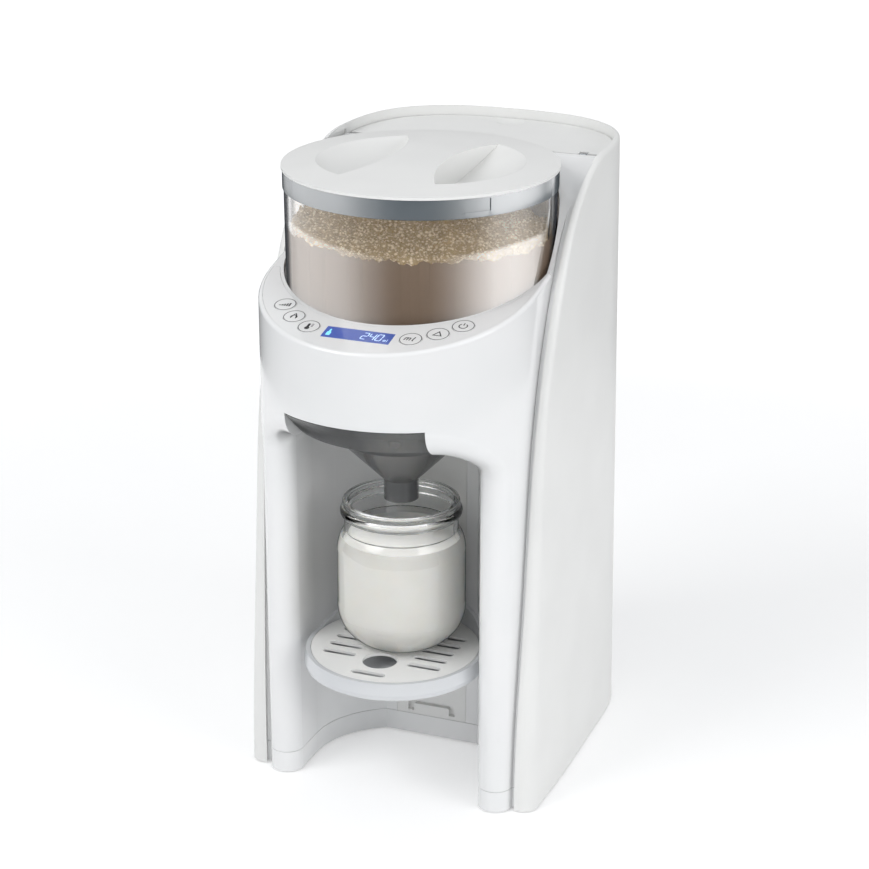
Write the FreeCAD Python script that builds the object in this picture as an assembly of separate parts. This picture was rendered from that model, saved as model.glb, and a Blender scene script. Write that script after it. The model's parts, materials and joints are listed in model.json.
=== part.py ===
import FreeCAD, Part
import os
from math import atan, cos, degrees, pi, radians, sin, sqrt, tan

V = FreeCAD.Vector
X_AXIS, Y_AXIS, Z_AXIS = V(1, 0, 0), V(0, 1, 0), V(0, 0, 1)

# A countertop machine that meters formula powder from a clear hopper, mixes it with warm water in
# a funnel and fills a bottle in the alcove below. Millimetres, +Z up, the front faces -Y.
# The origin is on the counter, under the middle of the machine.

# Overall body
BODY_DEPTH = 258.0
COVER_HALF_FOOT = 88.0      # widest half width of the cover at the counter
COVER_HALF_TOP = 83.4       # the same at the rim
RIM_Z = 350.7               # top of the cover's rim
COVER_WALL = 3.0
COVER_CORNER_R = 8.0        # rounding of the cover's front edge, low down
RIM_ROUND_R = 2.6
FRONT_Y = -BODY_DEPTH / 2
BACK_Y = BODY_DEPTH / 2

# Front housing
FACE_R = 77.0               # radius of the drum-shaped front
FACE_Y = FRONT_Y + FACE_R   # its axis
HOUSING_WALL = 2.5
FOOT_GAP = 0.8              # height of the shell above the counter
BASE_SEAM_Z = 13.4
SEAM_GAP = 0.3
GROOVE_W = 3.0              # groove between the front housing and the cover
CONSOLE_SLOPE = 0.235       # rise of the control panel per length towards the back
CONSOLE_FRONT_Z = 277.4     # height of the panel's plane at the front face
CONSOLE_NORMAL = V(0, -CONSOLE_SLOPE, 1).normalize()
KNEE_Y = FRONT_Y + 98.7     # where the console turns up towards the deck
CREASE_R = 2.0              # rounding between the front face and the panel
DECK_Z = RIM_Z - 5.7        # flat deck behind the hopper
DECK_DEPTH_Y = FRONT_Y + 183.3

# Alcove and bottle stand
STAND_Y = FRONT_Y + 64.7    # axis of the round bottle stand
ALCOVE_HALF = 54.4
ALCOVE_TOP = 218.0
ALCOVE_BACK = 54.6          # depth of the alcove's back wall behind the stand's axis
ALCOVE_BACK_Y = STAND_Y + ALCOVE_BACK
ALCOVE_BACK_HALF = 28.5
ALCOVE_BEND_Y = STAND_Y + 12.3      # where the straight sides start to close in
ALCOVE_BEND_LENGTH = 20.1
ALCOVE_BEND_IN = 4.8
ALCOVE_CORNER_R = 18.0
LEG_ROUND_R = 9.6           # rounding of the mouth down the legs
ARCH_ROUND_R = 17.2         # and at the top of the arch
LINER_SEAM_R = FACE_R - ARCH_ROUND_R - 1.2      # joint of the front shell and the alcove's liner
LIP_T = 2.0                 # lip behind the front edge of the cover
RAIL_HALF = 21.7
RAIL_TOP_Z = ALCOVE_TOP - 6.0
RAIL_FIT = 0.15
RAIL_FLANGE = 3.0
RAIL_FLANGE_T = 1.5
SLOT_HALF = 14.8            # staple-shaped slots for the stand's hook
SLOT_BAR = 2.2
SLOT_LEG = 3.8
SLOT_RISE = 3.4             # half height of a slot
SLOT_DEPTH = 2.8            # the slots are blind pockets
HOOK_FIT = 0.05
SLOT_HEIGHTS = (19.0, 49.0, 79.0)   # hook slots for the stand
STAND_TOP_Z = 84.2
STAND_R = 50.0
STAND_BELLY_R = 51.2
PLATE_T = 1.5
DRIP_SLOT_LENGTH = 20.0
DRIP_SLOT_R = 2.3
PLATE_R = 47.3

# Hopper and lid
HOPPER_Y = STAND_Y + 39.7   # axis of the hopper, the metering wheel and the lid
HOPPER_R = 74.0
HOPPER_WALL = 2.2
DECK_PLATE_Z = 249.0        # underside of the plate that carries the hopper
DECK_PLATE_T = 3.0
DECK_TOP_Z = DECK_PLATE_Z + DECK_PLATE_T
HOPPER_FOOT_Z = DECK_TOP_Z + 0.2
HOPPER_FLOOR_T = 3.0
HOPPER_RIM_Z = DECK_Z + 5.0
WELL_CLEAR = 0.9
LID_R = 75.4
LID_EDGE_Z = HOPPER_RIM_Z + 3.2
LID_DOME = 3.4
BAND_H = 10.6
BAND_STEP = 0.7             # from the lid's edge in to the band
LID_RIM_H = 1.5
NECK_R = HOPPER_R - 1.6     # the hopper's neck inside the band
NECK_GAP = 0.3
TRACK_ANGLE = 39.0          # first bayonet track, from the front towards +X
TRACK_SPAN = 12.0
TRACK_W = 1.1
TRACK_W_ANGLE = 0.85
TRACK_DEPTH = 0.6
TRACK_DROP = 7.6            # from the band's top to the level run of a track

FLOOR_Z = FOOT_GAP + 3.0    # top of the base tray's floor

# Control panel
PANEL_T = 2.0
PANEL_FIT = 0.15
WELL_WALL = 2.0             # wall round the hopper's well
SHOULDER_T = 14.0           # depth of the ledges between the deck's sweep and the cover
SHOULDER_LOW_Z = DECK_Z - 55.0
LIP_TOP_Z = DECK_Z - 43.0   # top of the strip behind the cover's front edge
BOARD_R = 72.0              # sector-shaped circuit board under the console
BOARD_INNER_R = 52.0
BOARD_HALF_ANGLE = 60.0
BOARD_POSTS = (-46, -22, 22, 46)    # degrees from the middle
PANEL_HORN_Y = STAND_Y + 10.0   # where the ends of the panel's crescent are cut off
BUTTON_R = 6.1
BUTTON_FIT = 0.15
BUTTON_RING_R = 64.0        # the buttons stand on an arc about the axis of the front face
BUTTON_FIRST = 26.6         # degrees from the middle
BUTTON_STEP = 12.85
BUTTON_PROUD = 0.3
BUTTON_T = 3.4
WINDOW_W = 38.0
WINDOW_H = 10.5
WINDOW_RING_R = 59.4
BUTTON_TRAVEL = 0.7
BOARD_DROP = 9.0            # from the panel's face to the underside of the control board
BOARD_T = 1.6
SWITCH_TOP = 3.8            # height of the switches over the board's underside

MOTOR_R = 16.0
MOTOR_TOP_Z = DECK_PLATE_Z - 12.5
WHEEL_HUB_R = 8.8
STIRRER_REACH = 62.0
LID_T = 2.0
PLUG_R = 67.4
GRIP_HALF = 27.0            # half width of the grip bar at its ends
GRIP_HALF_LENGTH = 47.0
GRIP_REACH = 30.0
GRIP_WAIST = 11.5           # how far the bar narrows to its middle
GRIP_BALL_R = 94.0

# Funnel
FUNNEL_Y = STAND_Y + 10.0
SPOUT_R = 9.7
BOTTLE_HEIGHT = 85.4
BOTTLE_RIM_Z = STAND_TOP_Z + BOTTLE_HEIGHT
SPOUT_FOOT_Z = BOTTLE_RIM_Z + 0.8
SPOUT_TOP_Z = SPOUT_FOOT_Z + 11.6
BOWL_R = 35.0
FUNNEL_WALL = 1.8
FLANGE_Z = ALCOVE_TOP + 10.2
FASCIA_HALF = 39.5          # the funnel's front fills a notch in the arch
FASCIA_T = 2.5
NOTCH_GAP = 0.4
NOTCH_TOP_Z = ALCOVE_TOP + ARCH_ROUND_R + NOTCH_GAP
NOTCH_BACK_Y = STAND_Y - 20.0

# Bottle
BOTTLE_Y = FUNNEL_Y
BOTTLE_R = 36.1
BOTTLE_NECK_R = 31.8
GLASS_T = 2.2

# Metering and drive
OUTLET_REACH = 37.7         # from the hopper's axis to the powder outlet
OUTLET_R = 8.5
WHEEL_R = 50.0
WHEEL_T = 10.0
WHEEL_POCKETS = 8
SHAFT_R = 6.0
RUN_FIT = 0.05
DOG_W = 8.0
GEAR_MODULE = 1.5
GEAR_TEETH = 36
PINION_TEETH = 12
GEAR_T = 7.0
GEAR_Z = DECK_PLATE_Z - 9.0

# Power inlet in the back of the cover
INLET_X = -24.0
INLET_Z = 34.0
INLET_W = 27.0
INLET_H = 20.0

# Tank
TANK_FLOOR_Z = 138.0
TANK_WALL = 2.0
TANK_FIT = 1.2              # gap from the tank to the cover and the deck
TANK_RIM_Z = DECK_Z - 2.85
TANK_LID_T = 2.6
HINGE_Y = DECK_DEPTH_Y + 4.2
HINGE_Z = TANK_RIM_Z + 0.45
HINGE_PIN_R = 1.0
VALVE_Y = (DECK_DEPTH_Y + BACK_Y) / 2 - 3.65
VALVE_R = 7.0
VALVE_PIN_Z = TANK_FLOOR_Z - 10.0   # top of the pin that opens the tank's valve
SHELF_T = 4.0
HOSE_R = 3.0
PUMP_X, PUMP_Y = 40.0, ALCOVE_BACK_Y + 33.4
HEATER_X, HEATER_Y = -40.0, PUMP_Y
HEATER_R = 18.0
HEATER_TOP_Z = 110.0
NOZZLE_X = -37.0
NOZZLE_Z = DECK_PLATE_Z - 9.8


def edge_line(a, b):
    return Part.LineSegment(a, b).toShape()


def edge_arc(a, b, c):
    return Part.Arc(a, b, c).toShape()


def edge_spline(points):
    curve = Part.BSplineCurve()
    curve.interpolate(points)
    return curve.toShape()


def face_of(edges):
    return Part.Face(Part.Wire(Part.__sortEdges__(edges)))


def block(x0, x1, y0, y1, z0, z1):
    return Part.makeBox(x1 - x0, y1 - y0, z1 - z0, V(x0, y0, z0))


def disc(r, x, y, z0, z1):
    return Part.makeCylinder(r, z1 - z0, V(x, y, z0), Z_AXIS)


def ring(r_out, r_in, x, y, z0, z1):
    return disc(r_out, x, y, z0, z1).cut(disc(r_in, x, y, z0 - 1, z1 + 1))


def revolve(profile, x, y):
    """Turns a closed list of (radius, height) points about a vertical axis."""
    points = [V(x + r, y, z) for r, z in profile]
    wire = Part.makePolygon(points + [points[0]])
    return Part.Face(wire).revolve(V(x, y, 0), Z_AXIS, 360)


def rounded(shape, edges_radii):
    """Fillets with one start and one end radius for each edge."""
    doc = FreeCAD.newDocument("rounding")
    base = doc.addObject("Part::Feature", "base")
    base.Shape = shape
    feature = doc.addObject("Part::Fillet", "fillet")
    feature.Base = base
    feature.Edges = edges_radii
    doc.recompute()
    result = feature.Shape.copy()
    FreeCAD.closeDocument(doc.Name)
    return result


# ---- plan outlines -------------------------------------------------------------------------

def cover_points(z, inset=0.0):
    """Half outline of the cover at one height, from the front of its side to the middle back."""
    share = z / RIM_Z
    half = COVER_HALF_FOOT + (COVER_HALF_TOP - COVER_HALF_FOOT) * share
    corner = 71.5 - 3.0 * share
    shoulder = 48.5 - 1.5 * share
    outline = [
        (half - 1.4, STAND_Y - 34.0),
        (half, STAND_Y + 45.0),
        (half - 1.6, STAND_Y + 108.0),
        (half - 4.0, STAND_Y + 140.0),
        (corner, BACK_Y - 25.3),
        (shoulder, BACK_Y - 8.0),
        (0.0, BACK_Y),
    ]
    normals = [(1, -0.01), (1, 0.01), (0.999, 0.05), (0.985, 0.17), (0.80, 0.60), (0.37, 0.93), (0, 1)]
    return [V(x - inset * n[0], y - inset * n[1], z) for (x, y), n in zip(outline, normals)]


def cover_wire(z, inset=0.0):
    right = cover_points(z, inset)
    left = [V(-p.x, p.y, p.z) for p in reversed(right[:-1])]
    back = edge_spline(right + left)
    return Part.Wire([back, edge_line(left[-1], right[0])])


def cover_block(z0, z1, inset=0.0):
    return Part.makeLoft([cover_wire(z0, inset), cover_wire(z1, inset)], True, True)


# Side view of the cover's front edge: depth behind the stand's axis, share of the rim's height
SWEEP = ((-12.0, -0.0114), (-11.2, 0.0855), (-1.8, 0.4249), (9.7, 0.6758), (31.5, 0.8298), (52.0, 0.9210),
         (80.0, 0.9780), (120.0, 1.0))


def behind_sweep(shift, drop=0.0, half=100.0):
    """The space behind the S-shaped front edge of the cover, moved back by shift."""
    curve = [V(-half, STAND_Y + y + shift, RIM_Z * share - drop) for y, share in SWEEP]
    top, foot = curve[-1], curve[0]
    edges = [
        edge_spline(curve),
        edge_line(top, V(-half, BACK_Y + 20, top.z)),
        edge_line(V(-half, BACK_Y + 20, top.z), V(-half, BACK_Y + 20, foot.z)),
        edge_line(V(-half, BACK_Y + 20, foot.z), foot),
    ]
    return face_of(edges).extrude(V(2 * half, 0, 0))


def drum_plan(r, z, back):
    """Round front and straight sides, open to the stated back."""
    a, b = V(r, FACE_Y, z), V(-r, FACE_Y, z)
    edges = [
        edge_arc(a, V(0, FACE_Y - r, z), b),
        edge_line(b, V(-r, back, z)),
        edge_line(V(-r, back, z), V(r, back, z)),
        edge_line(V(r, back, z), a),
    ]
    return face_of(edges)


def drum(r, z0, z1, back):
    return drum_plan(r, z0, back).extrude(V(0, 0, z1 - z0))



def edge_picks(shape, chooser):
    """Numbers the edges of a shape that the chooser gives radii for."""
    picks = []
    for index, edge in enumerate(shape.Edges, start=1):
        first, last = edge.FirstParameter, edge.LastParameter
        ends = (edge.valueAt(first), edge.valueAt(0.5 * (first + last)), edge.valueAt(last))
        radii = chooser(*ends)
        if radii:
            picks.append((index, radii[0], radii[1]))
    return picks


# ---- cover and front housing ----------------------------------------------------------------

def rear_cover():
    outer = cover_block(FOOT_GAP, RIM_Z).common(behind_sweep(0))

    def radii(a, m, b):
        on_side = abs(m.x) > 70 and a.z != b.z and abs(a.z - b.z) > 100
        on_rim = m.z > RIM_Z - 0.01 and abs(a.x - b.x) + abs(a.y - b.y) + abs(m.y - a.y) > 1
        if on_side:
            low, high = COVER_CORNER_R, RIM_ROUND_R
            return (low, high) if a.z < b.z else (high, low)
        if on_rim and m.y > HOPPER_Y + 60 and m.y > STAND_Y + 122 or on_rim and abs(m.x) > 78:
            return RIM_ROUND_R, RIM_ROUND_R
        return None

    shell = rounded(outer, edge_picks(outer, radii))
    cavity = cover_block(-2.0, RIM_Z + 4, COVER_WALL).common(behind_sweep(COVER_WALL, -1.0))
    shell = shell.cut(cavity)
    shell = shell.cut(drum(FACE_R + GROOVE_W, -2, RIM_Z - 3, DECK_DEPTH_Y))
    inlet = block(INLET_X - INLET_W / 2, INLET_X + INLET_W / 2, BACK_Y - 20, BACK_Y + 5,
                  INLET_Z - INLET_H / 2, INLET_Z + INLET_H / 2)
    return shell.cut(inlet)


# Side view of the rise from the console to the deck: depth behind the stand's axis, share of the rise
DECK_SWEEP = ((44.0, 0.257), (58.0, 0.583), (76.0, 0.831), (96.0, 0.955), (114.0, 1.0))


def console_plane_z(y):
    return CONSOLE_FRONT_Z + CONSOLE_SLOPE * (y - FRONT_Y)


def top_profile_cut(drop=0.0):
    """The space above the console, the sweep beside the hopper and the flat deck."""
    far = 100.0
    start = V(-far, FRONT_Y - 5, console_plane_z(FRONT_Y - 5) - drop)
    knee = V(-far, KNEE_Y, console_plane_z(KNEE_Y) - drop)
    climb = DECK_Z - console_plane_z(KNEE_Y)
    sweep = [knee] + [V(-far, STAND_Y + y, knee.z + climb * share) for y, share in DECK_SWEEP]
    back = V(-far, BACK_Y + 20, DECK_Z - drop)
    high = RIM_Z + 30
    edges = [
        edge_line(start, knee),
        edge_spline(sweep),
        edge_line(sweep[-1], back),
        edge_line(back, V(-far, BACK_Y + 20, high)),
        edge_line(V(-far, BACK_Y + 20, high), V(-far, FRONT_Y - 5, high)),
        edge_line(V(-far, FRONT_Y - 5, high), start),
    ]
    return face_of(edges).extrude(V(2 * far, 0, 0))


def tangent_arc(start, heading, end):
    """Arc from a point to another that leaves on a heading, with the heading it arrives on."""
    chord = end - start
    half_turn = heading.getAngle(chord)
    across = (heading - chord * (heading.dot(chord) / chord.dot(chord))).normalize()
    middle = (start + end) * 0.5 + across * (0.5 * chord.Length * tan(half_turn / 2))
    arrival = chord * (2 * heading.dot(chord) / chord.dot(chord)) - heading
    return edge_arc(start, middle, end), arrival


def alcove_plan(grow, z):
    """Space for the stand: straight at the mouth, bent in to the corners of a flat back wall."""
    turn = 2 * atan(ALCOVE_BEND_IN / ALCOVE_BEND_LENGTH)
    half = ALCOVE_HALF + grow
    start = V(half, ALCOVE_BEND_Y, z)
    bend_y = ALCOVE_BEND_Y + ALCOVE_BEND_LENGTH + grow * sin(turn)
    bend = V(half - ALCOVE_BEND_IN - grow * (1 - cos(turn)), bend_y, z)
    corner = V(ALCOVE_BACK_HALF + 0.27 * grow, ALCOVE_BACK_Y + grow, z)
    side, heading = tangent_arc(start, Y_AXIS, bend)
    rear = tangent_arc(bend, heading, corner)[0]
    right = [edge_line(V(half, FRONT_Y - 20, z), start), side, rear]
    left = [edge.mirror(V(0, 0, 0), X_AXIS) for edge in right]
    mouth = edge_line(V(-half, FRONT_Y - 20, z), V(half, FRONT_Y - 20, z))
    back = edge_line(corner, V(-corner.x, corner.y, z))
    return face_of([mouth, back] + right + left)


def alcove_space(grow=0.0):
    """The alcove: its plan raised to the arch, with rounded upper corners."""
    plan = alcove_plan(grow, -2.0).extrude(V(0, 0, ALCOVE_TOP + grow + 2.0))
    half, top, r = ALCOVE_HALF + grow, ALCOVE_TOP + grow, ALCOVE_CORNER_R
    y = FRONT_Y - 25
    turn = r * (1 - cos(pi / 4))
    edges = [
        edge_line(V(-half - 1, y, -3), V(half + 1, y, -3)),
        edge_line(V(half + 1, y, -3), V(half + 1, y, 0)),
        edge_line(V(half + 1, y, 0), V(half, y, 0)),
        edge_line(V(half, y, 0), V(half, y, top - r)),
        edge_arc(V(half, y, top - r), V(half - turn, y, top - turn), V(half - r, y, top)),
        edge_line(V(half - r, y, top), V(-half + r, y, top)),
        edge_arc(V(-half + r, y, top), V(-half + turn, y, top - turn), V(-half, y, top - r)),
        edge_line(V(-half, y, top - r), V(-half, y, 0)),
        edge_line(V(-half, y, 0), V(-half - 1, y, 0)),
        edge_line(V(-half - 1, y, 0), V(-half - 1, y, -3)),
    ]
    return plan.common(face_of(edges).extrude(V(0, BODY_DEPTH, 0)))


def mouth_rounding(shape, r, less):
    """Rounds the mouth of the alcove, more at the top of the arch than down the legs."""
    leg, arch = LEG_ROUND_R - less, ARCH_ROUND_R - less

    def radii(a, m, b):
        on_drum = all(abs(sqrt(p.x ** 2 + (p.y - FACE_Y) ** 2) - r) < 0.05 for p in (a, m, b))
        on_mouth = abs(m.x) < ALCOVE_HALF + less + 0.1 and FOOT_GAP < m.z < ALCOVE_TOP + less + 0.1
        if not on_drum or not on_mouth or m.y > FACE_Y:
            return None
        if abs(a.z - b.z) < 0.1:
            return arch, arch
        if max(a.z, b.z) < ALCOVE_TOP - 1:
            return leg, leg
        return (arch, leg) if a.z < b.z else (leg, arch)

    return rounded(shape, edge_picks(shape, radii))


def front_body():
    """The solid form that the front housing and the foot of its legs are cut from."""
    solid = drum(FACE_R, FOOT_GAP, RIM_Z, DECK_DEPTH_Y).cut(alcove_space())
    return mouth_rounding(solid, FACE_R, 0.0)


def front_core(w=HOUSING_WALL):
    """The hollow inside the legs and over the arch, one wall inside the front body."""
    core = drum(FACE_R - w, FOOT_GAP - 5, DECK_PLATE_Z, ALCOVE_BACK_Y).cut(alcove_space(w))
    return mouth_rounding(core, FACE_R - w, w)


def panel_slab(top_drop, thickness):
    """A layer parallel to the console plane, between two depths square to it."""
    far = 120.0
    upright = 1 / CONSOLE_NORMAL.z
    top_drop, thickness = top_drop * upright, thickness * upright
    z0 = console_plane_z(FRONT_Y - 5) - top_drop
    z1 = console_plane_z(HOPPER_Y) - top_drop
    a, b = V(-far, FRONT_Y - 5, z0), V(-far, HOPPER_Y, z1)
    drop = V(0, 0, -thickness)
    edges = [edge_line(a, b), edge_line(b, b + drop), edge_line(b + drop, a + drop), edge_line(a + drop, a)]
    return face_of(edges).extrude(V(2 * far, 0, 0))


def sector(r_out, r_in, half_angle, z0, z1):
    """A ring sector about the face axis, pointing to the front."""
    s_a, c_a = sin(radians(half_angle)), cos(radians(half_angle))

    def at(r, side):
        return V(side * r * s_a, FACE_Y - r * c_a, z0)

    edges = [
        edge_arc(at(r_out, -1), V(0, FACE_Y - r_out, z0), at(r_out, 1)),
        edge_line(at(r_out, 1), at(r_in, 1)),
        edge_arc(at(r_in, 1), V(0, FACE_Y - r_in, z0), at(r_in, -1)),
        edge_line(at(r_in, -1), at(r_out, -1)),
    ]
    return face_of(edges).extrude(V(0, 0, z1 - z0))


def button_places():
    """Angles of the six buttons, from the outer left to the outer right."""
    right = [BUTTON_FIRST + i * BUTTON_STEP for i in range(3)]
    return [-a for a in reversed(right)] + right


def console_frame(ring_r, angle):
    """Centre on the console plane at an angle about the face axis."""
    x = ring_r * sin(radians(angle))
    y = FACE_Y - ring_r * cos(radians(angle))
    return V(x, y, console_plane_z(y))


def console_pin(centre, r, low, high):
    """A round bar square to the console, between two depths from its plane."""
    return Part.makeCylinder(r, high - low, centre + CONSOLE_NORMAL * low, CONSOLE_NORMAL)


def console_block(centre, w, h, low, high):
    """A block square to the console, centred on a point of its plane."""
    box = Part.makeBox(w, h, high - low, V(-w / 2, -h / 2, low))
    box.rotate(V(0, 0, 0), X_AXIS, degrees(atan(CONSOLE_SLOPE)))
    box.translate(centre)
    return box


def well(extra=0.0, z0=0.0):
    return disc(HOPPER_R + WELL_CLEAR + extra, 0, HOPPER_Y, z0, RIM_Z + 20)


def panel_shape(grow):
    """The crescent of the control panel."""
    plan = drum(FACE_R - CREASE_R - 0.4 + grow, ALCOVE_TOP, RIM_Z, HOPPER_Y)
    plan = plan.cut(block(-100, 100, PANEL_HORN_Y + grow, HOPPER_Y + 1, 190, RIM_Z + 1))
    return plan.cut(well(WELL_WALL - grow)).common(panel_slab(0, PANEL_T))


def crease_rounding(shape):
    """Rounds the edge between the drum-shaped front and the console."""
    for edge in shape.Edges:
        mid = edge.valueAt(0.5 * (edge.FirstParameter + edge.LastParameter))
        if abs(mid.x) < 1 and abs(mid.y - FRONT_Y) < 0.5 and mid.z > CONSOLE_FRONT_Z - 5:
            return shape.makeFillet(CREASE_R, [edge])
    raise ValueError("the housing has no front crease to round")


def front_form():
    """The front body with its console, its rounded crease and the sweep up to the deck."""
    body = front_body().cut(top_profile_cut())
    ahead = block(-100, 100, FRONT_Y - 10, KNEE_Y, -10, RIM_Z)
    return crease_rounding(body.common(ahead)).fuse(body.cut(ahead))


def notch_space(grow=0.0):
    """The opening over the arch that the funnel slides in through."""
    half = FASCIA_HALF + NOTCH_GAP + grow
    return block(-half, half, FRONT_Y - 5, NOTCH_BACK_Y, ALCOVE_TOP - 20, NOTCH_TOP_Z + grow)


def cover_lip(z0, z1):
    """Strip behind the front edge of the cover that closes the groove beside the housing."""
    fit = COVER_WALL + SEAM_GAP
    lip = behind_sweep(fit).cut(behind_sweep(fit + LIP_T)).common(cover_block(z0, z1, fit))
    return lip.cut(drum(FACE_R - 1.0, 0, RIM_Z, BACK_Y))


def deck_shoulders():
    """Ledges that carry the deck's sweep out to the cover on both sides."""
    fit = COVER_WALL + SEAM_GAP
    reach = FACE_R + GROOVE_W - SEAM_GAP
    zone = behind_sweep(fit).common(cover_block(SHOULDER_LOW_Z, DECK_Z + 1, fit))
    zone = zone.common(block(-reach, reach, FRONT_Y, DECK_DEPTH_Y, SHOULDER_LOW_Z, DECK_Z + 1))
    layer = top_profile_cut(SHOULDER_T).cut(top_profile_cut())
    return zone.common(layer).cut(drum(FACE_R - 1.0, 0, RIM_Z, BACK_Y))


def housing_shell():
    """The whole front moulding before it is parted: skin, alcove walls, deck plate and well."""
    w = HOUSING_WALL
    far = 200
    body = front_form()
    body = body.cut(block(-far, far, -far, far, -5, BASE_SEAM_Z))
    body = body.cut(front_core().cut(notch_space(w)))
    body = body.cut(block(-far, far, ALCOVE_BACK_Y + w, far, -5, DECK_PLATE_Z))
    body = body.cut(block(-45, 45, ALCOVE_BACK_Y - 1, ALCOVE_BACK_Y + w + 1, GEAR_Z - 4, DECK_PLATE_Z))
    body = body.cut(well(0, DECK_TOP_Z))
    hollow = drum(FACE_R - w, DECK_TOP_Z, RIM_Z, HOPPER_Y)
    hollow = hollow.cut(top_profile_cut(w + PANEL_T)).cut(well(WELL_WALL))
    body = body.cut(hollow)
    corners = block(-FACE_R + w, FACE_R - w, HOPPER_Y + 30, DECK_DEPTH_Y - w, DECK_PLATE_Z - 1, RIM_Z)
    body = body.cut(corners.cut(top_profile_cut(w)).cut(well(WELL_WALL)))
    for angle in BOARD_POSTS:
        x, y = 65 * sin(radians(angle)), FACE_Y - 65 * cos(radians(angle))
        post = disc(2.5, x, y, DECK_TOP_Z - 1, RIM_Z).common(panel_slab(BOARD_DROP, 60))
        body = body.fuse(post)
    body = body.cut(panel_shape(PANEL_FIT))
    module = console_frame(WINDOW_RING_R, 0)
    body = body.cut(console_block(module, WINDOW_W + 4.6, WINDOW_H + 3.6, BOARD_T - BOARD_DROP, 0))
    board = sector(BOARD_R + 1.0, BOARD_INNER_R + 4.5, BOARD_HALF_ANGLE + 1.0, ALCOVE_TOP, RIM_Z)
    body = body.cut(board.cut(well(WELL_WALL)).common(panel_slab(0, 12)))
    body = body.cut(disc(SHAFT_R + 2.0, 0, HOPPER_Y, DECK_PLATE_Z - 1, DECK_TOP_Z + 1))
    body = body.cut(disc(OUTLET_R + 0.5, 0, HOPPER_Y - OUTLET_REACH, DECK_PLATE_Z - 1, DECK_TOP_Z + 1))
    body = body.cut(notch_space())
    half = FASCIA_HALF + NOTCH_GAP
    body = body.cut(block(-half, half, FRONT_Y - 5, STAND_Y + 49, ALCOVE_TOP - 1, ALCOVE_TOP + w + 1))
    half, top = RAIL_HALF + RAIL_FIT, RAIL_TOP_Z + RAIL_FIT
    return body.cut(block(-half, half, ALCOVE_BACK_Y - 1, ALCOVE_BACK_Y + w + 1, 0, top))


def liner_zone():
    """Room for the alcove's liner: its walls behind the rounded mouth and the wall across the back."""
    w = HOUSING_WALL
    behind = drum(LINER_SEAM_R, 0, DECK_PLATE_Z, ALCOVE_BACK_Y + w + 1)
    across = block(-FACE_R + w, FACE_R - w, ALCOVE_BACK_Y - 0.3, ALCOVE_BACK_Y + w + 1, 0, DECK_PLATE_Z)
    return alcove_space(w + 0.3).common(behind).fuse(across)


def seat_zone():
    """Room for the hopper's seat: the deck plate and the well's wall up to the skin of the housing."""
    w = HOUSING_WALL
    inner = drum(FACE_R - w, DECK_PLATE_Z, RIM_Z, DECK_DEPTH_Y - w)
    return inner.cut(top_profile_cut(w + PANEL_T))


def front_housing(shell):
    """Outer moulding: the drum-shaped front with its legs, the console and the flat deck."""
    body = shell.cut(liner_zone()).cut(seat_zone())
    return body.fuse(cover_lip(BASE_SEAM_Z, LIP_TOP_Z)).fuse(deck_shoulders()).removeSplitter()


def alcove_liner(shell):
    return shell.common(liner_zone()).removeSplitter()


def hopper_seat(shell):
    return shell.common(seat_zone()).removeSplitter()


def slot_shape(z, less, y0, y1):
    """A staple-shaped bar with its legs down, shrunk on every side by less."""
    half, low = SLOT_HALF - less, z - SLOT_RISE + less
    top = z + SLOT_RISE - less
    inner, under = SLOT_HALF - SLOT_LEG + less, z + SLOT_RISE - SLOT_BAR + less
    r, r_in = SLOT_LEG - less, 1.0 + less
    share = 1 - cos(pi / 4)

    def right_half(x, ceiling, corner):
        return [edge_line(V(x, y0, low), V(x, y0, ceiling - corner)),
                edge_arc(V(x, y0, ceiling - corner), V(x - corner * share, y0, ceiling - corner * share),
                         V(x - corner, y0, ceiling)),
                edge_line(V(x - corner, y0, ceiling), V(0, y0, ceiling))]

    right = right_half(half, top, r) + right_half(inner, under, r_in)
    right.append(edge_line(V(inner, y0, low), V(half, y0, low)))
    left = [edge.mirror(V(0, 0, 0), X_AXIS) for edge in right]
    return face_of(right + left).extrude(V(0, y1 - y0, 0))


def base_tray():
    seam = BASE_SEAM_Z - SEAM_GAP
    far = 200
    legs = front_body().common(block(-far, far, -far, ALCOVE_BACK_Y + HOUSING_WALL, 0, seam))
    legs = legs.cut(front_core().common(block(-far, far, -far, far, FLOOR_Z, seam + 1)))
    tongue = front_core(1.2).cut(front_core()).common(block(-far, far, -far, far, seam - 1, BASE_SEAM_Z))
    legs = legs.fuse(tongue).fuse(cover_lip(FOOT_GAP, seam))
    fit = COVER_WALL + SEAM_GAP
    floor = cover_block(FOOT_GAP, FLOOR_Z, fit).common(behind_sweep(fit + 3))
    floor = floor.cut(drum(FACE_R - 2, 0, 10, ALCOVE_BACK_Y + 1).cut(front_body()))
    tray = legs.fuse(floor)
    for x, y in screw_places():
        tray = tray.fuse(disc(4.0, x, y, FLOOR_Z - 1, FLOOR_Z + 8))
        tray = tray.cut(disc(1.6, x, y, FOOT_GAP - 1, FLOOR_Z + 9))
        tray = tray.cut(disc(3.4, x, y, FOOT_GAP - 1, FOOT_GAP + 2))
    for x, y, r in foot_places():
        tray = tray.cut(disc(r + 0.2, x, y, 0, FOOT_GAP + 1.2))
    for i in range(7):
        x = -30 + 10 * i
        tray = tray.cut(block(x - 1.5, x + 1.5, BACK_Y - 60, BACK_Y - 30, 0, FLOOR_Z + 1))
    return tray.removeSplitter()


def screw_places():
    return [(sx * x, y) for sx in (-1, 1) for x, y in ((70, STAND_Y + 75), (66, BACK_Y - 45))]


def foot_places():
    return [(sx * x, y, r) for sx in (-1, 1)
            for x, y, r in ((65.0, STAND_Y - 5, 6.5), (55.0, BACK_Y - 34, 8.0))]


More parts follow.
